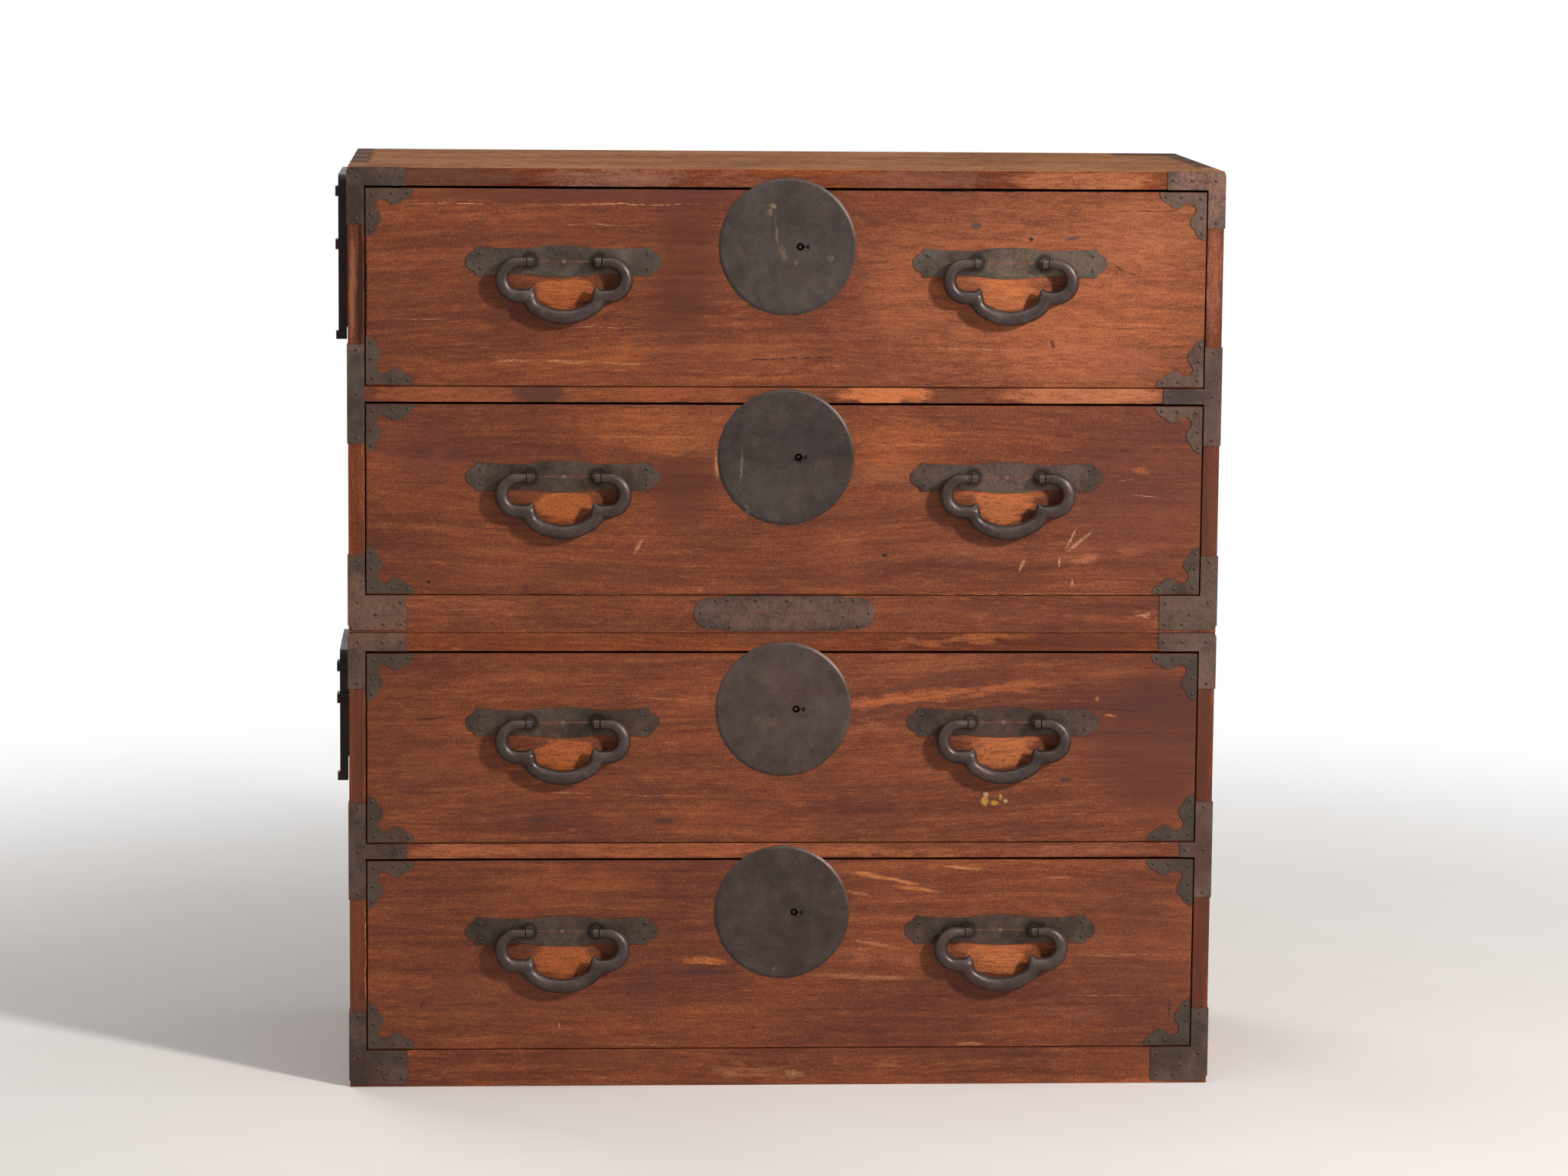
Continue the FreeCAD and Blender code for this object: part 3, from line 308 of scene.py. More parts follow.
def rings_and_veins(p, colour, grained, mottle, tones):
    """Dark veins and late-wood rings, both broken up by the mottle."""
    vein = p.noise(p.stretch(grained, (5, 20, 130), (1, 8, 5)), 1.0, 3.0, 0.6)
    vein = p.fit(p.math("ABSOLUTE", p.minus(vein, 0.5)), 0.012, 0.002)
    vein = p.times(vein, p.fit(mottle, 0.42, 0.58))
    colour = p.mix(p.times(vein, RING_STRENGTH), colour, p.mix(0.4, GRIME, tones["dark"]))
    ring = p.node("TexWave", wave_type="BANDS", bands_direction="Z", wave_profile="SAW")
    p.feed(ring.inputs["Vector"], p.stretch(grained, (0.5, 2, 40)))
    for name, value in (("Scale", 1.0), ("Distortion", 8.0), ("Detail", 3.0),
                        ("Detail Scale", 0.9)):
        ring.inputs[name].default_value = value
    late = p.times(p.fit(ring.outputs["Fac"], 0.8, 1.0), p.fit(mottle, 0.42, 0.6))
    return p.mix(p.times(late, RING_STRENGTH), colour, tones["dark"])


def mark_front(p, colour, grained, figure, marks, lines):
    """Marks and lines on the front face, broken up by the wood's figure.

    A mark is x, z, half width, half height, turn, softness, tint and strength, and a line is
    x0, z0, x1, z1, thickness, tint and strength, in mm from the left side and the floor."""
    torn = p.shake(p.stretch(grained, (26, 40, 110)), 4.0, 0.03)
    swaying = p.shake(p.stretch(p.where, (30, 30, 30)), 3.0, 0.007)
    facing = p.fit(p.parts(p.where)[1], FRONT + MARK_GONE, FRONT + MARK_FULL)
    patchy = p.weigh((figure["mottle"], 0.25), (figure["streak"], 0.4), (figure["speck"], 0.35))
    patchy = p.times(p.fit(patchy, 0.43, 0.56, 0.35, 1.0), facing)
    broken = p.noise(p.stretch(grained, (130, 130, 500), (7, 3, 1)), 1.0, 3.0)
    broken = p.times(p.fit(broken, 0.36, 0.6), facing)
    for *place, tint, strength in marks:
        share = p.times(p.times(p.oval(torn, *place), patchy), strength)
        colour = p.mix(share, colour, p.mix(1 - TINT_SHARE, tint, colour))
    for x0, z0, x1, z1, thickness, tint, strength in lines:
        long = math.hypot(x1 - x0, z1 - z0)
        turn = math.degrees(math.atan2(z1 - z0, x1 - x0))
        inside = p.oval(swaying, (x0 + x1) / 2, (z0 + z1) / 2, long / 2, thickness / 2, turn, 0.7)
        inside = p.times(inside, patchy if thickness >= THICK_LINE else broken)
        colour = p.mix(p.times(inside, strength), colour, tint)
    return colour


def dust_over(p, colour):
    """Grey-tan dust on the upper face, darker where pads lay, with a lighter orange front edge:
    partly wear, partly a painted highlight on the rounded edge.

    Gives the new colour and the share of dust."""
    geometry = p.node("NewGeometry")
    up = p.fit(p.parts(geometry.outputs["Normal"])[2], 0.5, 0.9)
    x, y, z = p.parts(p.where)
    up = p.times(up, p.fit(z, DUST_FROM, DUST_FULL))
    patch = p.noise(p.stretch(p.where, (5, 9, 1)), 1.0, 5.0, 0.6)
    figure = p.noise(p.stretch(p.where, (34, 210, 1)), 1.0, 5.0, 0.65)
    small = p.noise(p.where, 180, 3.0)
    dust = p.ramp(p.weigh((small, 0.2), (patch, 0.3), (figure, 0.5)),
                  [(0.43, rgb(108, 72, 50)), (0.5, rgb(140, 95, 65)), (0.57, rgb(167, 118, 84))])
    wobble = p.times(p.minus(patch, 0.5), 0.02)
    wobble = p.math("MULTIPLY_ADD", p.minus(small, 0.5), 0.008, wobble)
    edge = p.plus(p.math("ABSOLUTE", x), wobble)
    band = p.times(p.fit(edge, 0.504, 0.512), p.fit(y, -0.15, -0.08))
    dust = p.mix(p.times(band, PAD_STRENGTH), dust, rgb(58, 44, 40))
    pad = p.times(p.fit(p.plus(x, wobble), 0.44, 0.446), p.fit(y, 0.16, 0.17))
    dust = p.mix(p.times(pad, PAD_STRENGTH), dust, rgb(62, 48, 44))
    # lighter orange strip along the front edge: partly wear, partly a painted highlight where the
    # rounded edge catches the light
    near = p.fit(p.plus(y, wobble), FRONT + 0.014, FRONT + 0.003)
    dust = p.mix(p.times(near, 0.5), dust, rgb(168, 110, 72))
    return p.mix(up, colour, dust), up


def wood(name, seed, grain="x", tones=RED, *, wear, gloom, marks=(), lines=(), lean=0.0,
         dusty=False, rough=(0.42, 0.6), spec=0.22):
    """Old lacquered wood: mottled figure, fine fibres and pores, worn streaks, dull patches."""
    p = Paint(name)
    grained, figure, tone = grow_figure(p, grain_space(p, grain, seed), lean)
    mottle, streak, fibre = figure["mottle"], figure["streak"], figure["fibre"]
    colour = p.ramp(tone, [(stop, tones[shade]) for stop, shade in WOOD_STOPS])
    colour = rings_and_veins(p, colour, grained, mottle, tones)
    dull = p.times(p.fit(figure["cloud"], 0.56, 0.36), gloom)
    colour = p.mix(dull, colour, p.mix(0.5, colour, DULL_RED))
    rub = p.times(p.fit(streak, 0.54, 0.74), p.fit(mottle, 0.46, 0.66))
    colour = p.mix(p.times(rub, wear, clamp=True), colour, tones["glow"])
    if marks or lines:
        colour = mark_front(p, colour, grained, figure, marks, lines)
    pores = p.times(p.fit(fibre, 0.42, 0.28), PORE_STRENGTH)
    colour = p.mix(pores, colour, p.mix(0.4, GRIME, colour))
    shine = p.fit(p.weigh((mottle, 0.6), (streak, 0.4)), 0.38, 0.62, rough[0], rough[1])
    if dusty:
        colour, dust = dust_over(p, colour)
        shine = p.math("MULTIPLY_ADD", dust, DUST_ROUGHNESS, shine, clamp=True)
    height = p.weigh((mottle, 0.25), (fibre, 0.4), (streak, 0.5))
    return p.finish(colour, shine, height, 0.001, Specular_IOR_Level=spec)


# Iron

IRON_STOPS = ((0.4, "dark"), (0.5, "mid"), (0.6, "light"))
IRON_SHIFT = (0.83, 1.9, 0.37)
POST_GLOSS = 0.16
RUST = rgb(92, 58, 43)
SCUFF = rgb(126, 110, 100)


def mark_sheet(p, colour, out):
    """Dark nail heads and posts, and red dust in the grooves.

    out is how far a point stands out of the sheet, in metres: nail heads end 1.1 mm out of it,
    posts go on past 2.8 mm, and the grooves are 0.3 to 0.7 mm deep."""
    nail = p.times(p.fit(out, 0.0001, 0.0003), p.fit(out, 0.0016, 0.0011))
    colour = p.mix(p.times(nail, 0.75), colour, rgb(52, 38, 35))
    post = p.fit(out, 0.0022, 0.0028)
    colour = p.mix(p.times(post, 0.7), colour, rgb(72, 62, 60))
    groove = p.times(p.fit(out, -0.0001, -0.0003), p.fit(out, -0.0009, -0.0007))
    return p.mix(p.times(groove, 0.8), colour, rgb(112, 62, 50)), post


def mark_handle_plate(p, colour, out, blotch, post_z):
    """A rusty crease and a pale dot between a handle's posts, and painted shade round each post.

    across and rise are the distances from the middle of the handle, in metres."""
    x, _, z = p.parts(p.where)
    sheet = p.fit(out, 0.0003, 0.0001)
    across = p.math("ABSOLUTE", p.minus(p.math("ABSOLUTE", x), HANDLE_X))
    rise = p.math("ABSOLUTE", p.minus(z, post_z))
    crease = p.times(p.fit(rise, 0.0012, 0.0004), p.fit(across, 0.038, 0.03))
    crease = p.times(crease, p.fit(blotch, 0.4, 0.55, 0.3, 1.0))
    colour = p.mix(p.times(p.times(crease, sheet), 0.8), colour, rgb(134, 82, 66))
    dot = p.fit(p.vector("LENGTH", p.join(across, rise, 0)), 0.0032, 0.0016)
    colour = p.mix(p.times(dot, 0.6), colour, rgb(146, 116, 102))
    round_post = p.vector("LENGTH", p.join(p.minus(across, POST_X), rise, 0))
    # painted shade: the plate darkened in a ring round each post, where the post and bail shade it
    post_shade = p.times(p.fit(round_post, 0.0145, 0.0085), sheet)
    return p.mix(p.times(post_shade, 0.75), colour, rgb(30, 23, 22))


def iron(name, seed, tones, rust, rough=(0.38, 0.6), marks=(), metal=0.7, face=None,
         post_z=None):
    """Blackened sheet or bar with brown patina, fine pitting and small pale scuffs.

    face is a front sheet's thickness, post_z the height of the handle posts in it, and marks
    are placed as on the wood."""
    p = Paint(name)
    base = p.stretch(p.where, (1, 1, 1), [seed * share for share in IRON_SHIFT])
    cloud = p.noise(base, 15, 5.0, 0.62, 0.3)
    blotch = p.noise(p.stretch(base, (1, 1, 1), (3, 5, 7)), 60, 4.0, 0.65)
    grit = p.noise(base, 320, 4.0, 0.7)
    speck = p.noise(base, 900, 2.0, 0.6)
    tone = p.weigh((grit, 0.3), (blotch, 0.3), (cloud, 0.4))
    colour = p.ramp(tone, [(stop, tones[shade]) for stop, shade in IRON_STOPS])
    brown = p.times(p.fit(p.noise(base, 38, 4.0, 0.65), 0.48, 0.7), rust)
    colour = p.mix(brown, colour, RUST)
    colour = p.mix(p.times(p.fit(speck, 0.64, 0.76), 0.3), colour, SCUFF)
    torn = p.shake(base, 3.0, 0.009, scale=90)
    for *place, tint, strength in marks:
        inside = p.times(p.oval(torn, *place), p.fit(grit, 0.35, 0.6, 0.3, 1.0))
        colour = p.mix(p.times(inside, strength), colour, tint)
    shine = p.fit(tone, 0.4, 0.6, rough[0], rough[1])
    if face:
        out = p.minus(FRONT - face, p.parts(p.where)[1])
        colour, post = mark_sheet(p, colour, out)
        shine = p.math("MULTIPLY_ADD", post, -POST_GLOSS, shine)
        if post_z:
            colour = mark_handle_plate(p, colour, out, blotch, post_z)
    height = p.weigh((grit, 0.4), (blotch, 0.5))
    return p.finish(colour, shine, height, 0.0007, Metallic=metal, Specular_IOR_Level=0.35)


# Pieces: a node keeps its shape, or a copy with eased edges or flowing lobes stands for it

DRAWER_EASE = 0.0007
CASE_EASE = 0.0009
WELD = 2e-6
FLAT_DEGREES = 0.6
EDGE_DEGREES = 35
SHARP_DEGREES = 40
EASE_STEPS = 2
VOXEL = 0.0011
SMOOTHINGS = 14
SWELL = 0.0004
# A bail keeps its exact shape this near to a post's eye, and takes its new one this much
# further out
PIN_REACH, PIN_BLEND = 0.009, 0.006


def recoat(mesh, material):
    mesh.materials.clear()
    mesh.materials.append(material)


def stand_in(piece, node):
    """Link the piece, which replaces the node and moves with the node's body."""
    scene.collection.objects.link(piece)
    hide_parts(node)
    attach(piece, body_of[node])


def dress(node, material, ease=0.0):
    """Give a node its material; with ease, round its edges in a copy that replaces it."""
    original = nodes[node]
    if not ease:
        recoat(original.data, material)
        return
    mesh = original.data.copy()
    mesh.name = node + "_eased"
    recoat(mesh, material)
    work = bmesh.new()
    work.from_mesh(mesh)
    bmesh.ops.remove_doubles(work, verts=work.verts, dist=WELD)
    bmesh.ops.dissolve_limit(work, angle_limit=math.radians(FLAT_DEGREES), verts=work.verts,
                             edges=work.edges, use_dissolve_boundaries=False)
    corners = [edge for edge in work.edges if len(edge.link_faces) == 2
               and edge.calc_face_angle(0) > math.radians(EDGE_DEGREES)]
    bmesh.ops.bevel(work, geom=corners, offset=ease, segments=EASE_STEPS, profile=0.5,
                    affect="EDGES", clamp_overlap=True, harden_normals=False)
    for face in work.faces:
        face.smooth = True
    work.to_mesh(mesh)
    work.free()
    mesh.set_sharp_from_angle(angle=math.radians(SHARP_DEGREES))
    piece = bpy.data.objects.new(node + "_eased", mesh)
    piece.modifiers.new("Normals", "WEIGHTED_NORMAL").keep_sharp = True
    stand_in(piece, node)


def forge(node, material, axis_z):
    """A bail whose lobes flow into each other as hammered iron; its pins keep their size."""
    original = nodes[node]
    draft = bpy.data.objects.new(node + "_draft", original.data.copy())
    scene.collection.objects.link(draft)
    remesh = draft.modifiers.new("Remesh", "REMESH")
    remesh.mode = "VOXEL"
    remesh.voxel_size = VOXEL
    depsgraph = bpy.context.evaluated_depsgraph_get()
    mesh = bpy.data.meshes.new_from_object(draft.evaluated_get(depsgraph))
    bpy.data.objects.remove(draft)
    mesh.name = node + "_forged"
    recoat(mesh, material)
    work = bmesh.new()
    work.from_mesh(mesh)
    for _ in range(SMOOTHINGS):
        bmesh.ops.smooth_vert(work, verts=work.verts, factor=0.5, use_axis_x=True,
                              use_axis_y=True, use_axis_z=True)
    work.normal_update()
    exact = BVHTree.FromPolygons([vert.co for vert in original.data.vertices],
                                 [face.vertices for face in original.data.polygons])
    for vert in work.verts:
        away = math.hypot(abs(abs(vert.co.x) - HANDLE_X) - POST_X, vert.co.z - axis_z)
        share = min(max((away - PIN_REACH) / PIN_BLEND, 0.0), 1.0)
        swollen = vert.co + vert.normal * SWELL
        vert.co = exact.find_nearest(vert.co)[0].lerp(swollen, share)
    for face in work.faces:
        face.smooth = True
    work.to_mesh(mesh)
    work.free()
    stand_in(bpy.data.objects.new(node + "_forged", mesh), node)


# Drawer fronts: each is its own board with its own marks and lines, as mark_front takes them

TAN = rgb(170, 104, 70)
SAND = rgb(196, 132, 88)
ORANGE = rgb(176, 96, 50)
PALE = rgb(198, 140, 104)
PLUM = rgb(84, 44, 38)
BROWN = rgb(98, 56, 40)
BLACK = rgb(34, 22, 20)
RUBBED_X = (262, 796)
RUBBED_Z = {1: 984, 2: 724, 3: 420, 4: 162}
RUBBED_STRENGTH = 0.95
FRONT_MARKS = {
    1: [
        (405, 1005, 62, 120, 0, 0.75, rgb(70, 34, 24), 1.05),
        (830, 985, 330, 190, 0, 0.95, rgb(186, 108, 68), 0.85),
        (665, 985, 60, 90, 0, 0.8, rgb(176, 100, 62), 0.5),
        (880, 900, 160, 45, 0, 0.8, rgb(190, 108, 70), 0.7), (960, 1050, 120, 70, 0, 0.9, TAN, 0.8),
        (280, 1099, 260, 15, 0, 0.5, PLUM, 1.1), (400, 1074, 60, 12, 0, 0.8, PLUM, 0.6),
        (250, 1040, 140, 40, 0, 0.9, rgb(98, 50, 36), 0.5),
        (270, 895, 100, 22, 3, 0.9, ORANGE, 0.45), (330, 905, 40, 20, 0, 0.8, ORANGE, 0.5),
        (420, 905, 100, 45, 0, 0.9, rgb(112, 60, 40), 0.4),
        (110, 1020, 90, 45, 0, 0.9, rgb(130, 72, 46), 0.4),
        (620, 880, 60, 35, 70, 0.8, BROWN, 0.45),
        (700, 1092, 60, 12, 0, 0.8, rgb(122, 60, 38), 0.7),
        (712, 942, 16, 9, 20, 0.8, rgb(112, 58, 42), 0.7),
        (940, 900, 80, 35, 0, 0.9, rgb(128, 74, 60), 0.5),
        (610, 1000, 18, 90, 0, 0.9, rgb(120, 64, 42), 0.4), (70, 960, 50, 60, 0, 0.9, BROWN, 0.4),
        (500, 905, 90, 24, 0, 0.9, rgb(156, 88, 56), 0.5)],
    2: [
        (405, 745, 62, 80, 0, 0.75, rgb(73, 36, 26), 1), (360, 812, 150, 34, 0, 0.8, ORANGE, 0.5),
        (400, 795, 90, 18, 0, 0.8, rgb(196, 114, 62), 0.45),
        (660, 800, 90, 55, 0, 0.8, ORANGE, 0.7), (650, 760, 70, 20, 0, 0.8, TAN, 0.5),
        (960, 730, 130, 130, 0, 0.7, rgb(98, 54, 46), 0.7),
        (90, 790, 70, 60, 0, 0.8, rgb(102, 54, 48), 0.6), (965, 765, 16, 7, 0, 0.7, ORANGE, 0.9),
        (880, 662, 42, 16, 0, 0.8, TAN, 0.5), (760, 665, 150, 22, 0, 0.9, rgb(150, 88, 58), 0.6),
        (600, 660, 70, 36, 0, 0.9, rgb(150, 82, 52), 0.6),
        (652, 705, 14, 26, 0, 0.8, rgb(98, 56, 48), 0.5), (250, 640, 200, 18, 0, 0.9, BROWN, 0.5),
        (560, 830, 60, 14, 0, 0.8, rgb(110, 58, 38), 0.5),
        (955, 668, 30, 10, 0, 0.8, rgb(164, 94, 58), 0.6),
        (896, 654, 22, 8, 0, 0.7, rgb(188, 114, 78), 0.8)],
    3: [
        (990, 430, 100, 120, 0, 0.6, rgb(66, 34, 30), 0.7),
        (260, 515, 110, 30, 0, 0.8, rgb(142, 80, 42), 0.6), (420, 482, 50, 14, 0, 0.8, ORANGE, 0.4),
        (700, 486, 230, 10, 6, 0.6, rgb(188, 104, 58), 0.9),
        (700, 522, 120, 16, 8, 0.8, rgb(152, 90, 56), 0.7), (640, 448, 50, 12, 4, 0.8, TAN, 0.6),
        (650, 395, 110, 26, 0, 0.9, rgb(150, 82, 50), 0.5),
        (980, 430, 130, 130, 0, 0.7, rgb(78, 40, 34), 0.95),
        (330, 385, 50, 14, 0, 0.8, rgb(92, 42, 36), 0.6),
        (100, 400, 80, 60, 0, 0.9, rgb(110, 64, 46), 0.5),
        (480, 340, 120, 14, 0, 0.8, rgb(150, 76, 46), 0.5),
        (230, 345, 150, 26, 0, 0.9, BROWN, 0.4)],
    4: [
        (280, 256, 130, 24, 0, 0.8, rgb(156, 88, 44), 0.6),
        (330, 185, 90, 30, 0, 0.8, rgb(136, 76, 44), 0.4),
        (360, 118, 26, 42, 0, 0.8, rgb(80, 44, 44), 0.65),
        (474, 118, 12, 30, 0, 0.8, rgb(90, 50, 42), 0.5), (660, 160, 80, 8, -3, 0.8, TAN, 0.55),
        (980, 170, 110, 110, 0, 0.8, rgb(104, 60, 46), 0.5),
        (180, 110, 140, 50, 0, 0.9, rgb(112, 66, 50), 0.4),
        (895, 90, 60, 18, 0, 0.8, rgb(150, 92, 70), 0.4)],
}
# The first line of each drawer is painted shade: black wood behind the lock's keyhole slot.
FRONT_LINES = {
    1: [
        # painted shadow in the gap under the top board: the two black lines at 1105.6 mm
        (540, 1036.5, 570, 1036.5, 16, BLACK, 4), (20, 1105.6, 700, 1105.6, 4, BLACK, 1.6),
        (500, 1105.6, 1040, 1105.6, 4, BLACK, 1.6), (60, 1086, 200, 1086, 1.9, PALE, 1),
        (215, 1086, 450, 1087, 1.9, PALE, 1), (240, 1062, 345, 1061, 1.6, PALE, 0.77),
        (165, 895, 235, 898, 5, SAND, 0.8), (225, 898, 300, 895, 5.4, SAND, 0.8),
        (290, 896, 370, 892, 2.7, SAND, 0.68), (455, 898, 615, 903, 3.2, BLACK, 1.27),
        (880, 1080, 1025, 1082, 1.9, BLACK, 1.02), (880, 938, 1040, 939, 1.6, BLACK, 0.85),
        (950, 917, 1036, 918, 1.6, BLACK, 0.94), (922, 1020, 940, 1007, 2.2, BLACK, 1.19),
        (938, 1008, 968, 1001, 2.2, BLACK, 1.19), (945, 1006, 960, 996, 1.6, BLACK, 0.85),
        (615, 900, 620, 870, 2.7, rgb(96, 56, 44), 0.85), (640, 914, 860, 912, 2.2, PALE, 0.59),
        (140, 1034, 330, 1036, 1.6, rgb(76, 40, 32), 0.68), (25, 948, 140, 946, 1.6, PALE, 0.51),
        (240, 938, 370, 937, 1.6, PALE, 0.59), (748, 1063, 766, 1063, 12, rgb(90, 62, 54), 1.98),
        (864.3, 1045.5, 887.7, 1050.5, 6, rgb(92, 62, 54), 1.76),
        (855.7, 911.5, 850.3, 926.5, 6, rgb(92, 52, 40), 1.76),
        # the black line at 22.4 mm is painted shade of the gap beside the left side board
        (822.7, 1047, 829.3, 1047, 6, BLACK, 1.98), (22.4, 905, 22.4, 1068, 3.4, BLACK, 1.6)],
    2: [
        # the first line is painted shade: black wood behind the keyhole slot
        (540, 781, 570, 781, 16, BLACK, 4), (610, 833, 790, 829, 2.7, rgb(84, 44, 32), 1.19),
        (610, 826, 700, 824, 2.2, rgb(84, 44, 32), 1.02), (610, 797, 740, 796, 1.9, SAND, 0.85),
        (600, 775, 690, 774, 2.2, rgb(84, 44, 32), 0.85),
        (340, 686, 520, 684, 1.9, rgb(60, 32, 28), 1.19),
        (370, 721, 480, 722, 1.6, rgb(60, 32, 28), 0.85),
        (25, 750, 130, 748, 2.2, rgb(66, 36, 30), 1.02),
        (120, 785, 270, 781, 2.2, rgb(72, 38, 30), 0.85), (640, 611.5, 985, 612, 2.2, PALE, 1),
        (280, 806, 440, 804, 1.9, SAND, 0.68), (90, 612, 450, 611.5, 1.6, PALE, 0.59),
        (950, 734, 990, 733, 2, PALE, 0.68), (930, 752, 960, 754, 2, PALE, 0.51),
        (560, 700, 640, 690, 1.9, rgb(66, 36, 30), 0.68),
        (25, 702, 140, 700, 1.6, rgb(72, 40, 34), 0.68), (647, 661, 657, 661, 6, BLACK, 1.76),
        (94.7, 628, 101.3, 628, 6, BLACK, 1.76), (447, 748, 447, 796, 10, SAND, 0.8),
        (344.6, 660.1, 359.4, 683.9, 6, PALE, 0.8), (814.4, 637.4, 825.6, 658.6, 6, PALE, 0.8),
        (865, 645, 865, 659, 4, PALE, 1), (881, 621, 881, 633, 4, PALE, 1),
        (869.5, 662, 910.5, 694, 6, PALE, 0.8), (870, 664.7, 890, 699.3, 4, PALE, 0.99)],
    3: [
        # the first line is painted shade: black wood behind the keyhole slot
        (540, 471, 570, 471, 16, BLACK, 4), (55, 455, 150, 465, 2.4, BLACK, 1.1),
        (330, 484, 440, 484, 1.8, SAND, 0.68), (235, 368, 300, 366, 1.8, SAND, 0.68),
        (300, 365, 440, 363, 1.8, SAND, 0.68), (880, 470, 1036, 468, 1.9, BLACK, 0.85),
        (880, 440, 1036, 441, 1.6, BLACK, 0.68), (800, 498, 1000, 500, 1.9, BLACK, 0.59),
        (860, 343, 1036, 341, 1.8, BLACK, 0.68), (350, 375, 375, 345, 2.7, rgb(70, 36, 32), 0.85),
        (620, 470, 720, 474, 2.2, rgb(92, 48, 34), 0.85),
        (610, 495, 700, 502, 2.2, rgb(92, 48, 34), 0.85),
        (25, 375, 130, 378, 1.6, rgb(76, 44, 36), 0.68),
        (632.1, 488.1, 767.9, 521.9, 10, BROWN, 1.54),
        (367, 333, 403, 333, 10, rgb(70, 42, 36), 1.32),
        (217, 334, 253, 334, 6, rgb(66, 44, 38), 1.32),
        (778, 349, 778, 363, 12, rgb(180, 134, 56), 1.98),
        (783, 354, 797, 354, 8, rgb(176, 128, 50), 1.98),
        (798, 356, 798, 366, 6, rgb(196, 160, 96), 0.8),
        (774.7, 364, 783.3, 364, 8, rgb(214, 190, 140), 0.8),
        (800.7, 357, 807.3, 357, 6, rgb(214, 190, 140), 0.8),
        (868.1, 380.6, 887.9, 383.4, 6, rgb(62, 46, 44), 1.76),
        (916, 479, 916, 487, 6, rgb(190, 130, 76), 0.8),
        (923, 462, 941, 462, 4, rgb(180, 110, 66), 1.54), (34.7, 434, 39.3, 434, 4, BLACK, 1.98),
        (330, 396, 405, 338, 12, rgb(84, 46, 36), 0.8)],
    4: [
        # the first line is painted shade: black wood behind the keyhole slot
        (540, 218, 570, 218, 16, BLACK, 4), (25, 238, 200, 240, 2.2, rgb(66, 36, 30), 1.02),
        (60, 221, 185, 223, 2.2, rgb(60, 34, 30), 1.1),
        (60, 190, 150, 196, 1.9, rgb(66, 36, 30), 0.85),
        (620, 247, 800, 240, 2.7, rgb(84, 44, 34), 1.02),
        (600, 230, 760, 226, 2.2, rgb(84, 44, 34), 0.77),
        (400, 155, 470, 151, 2.7, rgb(206, 124, 70), 0.85), (300, 52, 420, 51, 1.6, PALE, 0.51),
        (860, 112, 1000, 111, 1.8, PALE, 0.51), (880, 162, 1030, 163, 1.6, PALE, 0.59),
        (520, 100, 700, 99, 1.9, rgb(84, 46, 36), 0.68), (240, 72, 280, 72, 1.6, PALE, 0.59),
        (130, 285, 480, 284.5, 1.9, SAND, 0.68),
        (397.1, 159, 472.9, 155, 12, rgb(198, 112, 56), 0.8),
        (399.1, 144.9, 470.9, 141.1, 8, rgb(70, 42, 40), 1.32),
        (550, 139.1, 730, 132.9, 10, TAN, 0.8), (743, 50, 787, 50, 6, rgb(206, 132, 78), 0.8),
        (256, 70, 256, 82, 3, PALE, 1), (1012, 80, 1012, 108, 3, BLACK, 1.98),
        (84, 96.1, 92, 109.9, 3, BLACK, 1.1), (600, 270, 680, 256, 8, rgb(206, 128, 78), 0.8),
        (650, 263, 704, 250, 6, rgb(206, 128, 78), 0.8),
        (660, 252, 735, 240, 7, rgb(200, 120, 72), 0.8), (600, 245, 650, 236, 6, TAN, 0.8),
        (720, 275, 790, 270, 5, SAND, 0.8), (840, 258, 900, 262, 5, TAN, 0.7),
        (608, 183, 690, 170, 7, TAN, 0.8)],
}
FRONT_LOOKS = {
    1: dict(seed=3, wear=0.55, gloom=0.4),
    2: dict(seed=11, wear=0.5, gloom=0.5, lean=0.01),
    3: dict(seed=23, wear=0.45, gloom=0.5, lean=-0.04),
    4: dict(seed=31, wear=0.4, gloom=0.5),
}


def rubbed(n):
    """Marks of lacquer worn off by hands under each handle: left and right."""
    (left, right), z = RUBBED_X, RUBBED_Z[n]
    return [(left, z - 4, 40, 22, 0, 0.22, rgb(194, 106, 52), RUBBED_STRENGTH * 1.15),
            (right, z - 2, 40, 24, 0, 0.22, rgb(208, 122, 70), RUBBED_STRENGTH),
            (right, z + 12, 58, 9, 0, 0.3, rgb(190, 104, 60), RUBBED_STRENGTH * 0.8)]


for n, look in FRONT_LOOKS.items():
    dress("drawer_%d_front" % n, wood("front_wood_%d" % n, marks=FRONT_MARKS[n] + rubbed(n),
                                      lines=FRONT_LINES[n], **look), DRAWER_EASE)


# Drawer boxes

BARE = dict(wear=0.2, rough=(0.6, 0.8))
inner = wood("inner_wood", 41, "y", INNER, gloom=0.25, **BARE)
inner_x = wood("inner_wood_across", 43, "x", INNER, gloom=0.25, **BARE)
back = wood("back_wood", 47, "x", BACK, gloom=0.5, **BARE)
for n in HANDLE_Z:
    dress("drawer_%d_sides" % n, inner, DRAWER_EASE)
    dress("drawer_%d_back" % n, inner_x, DRAWER_EASE)
    dress("drawer_%d_bottom" % n, inner_x)


# Cases

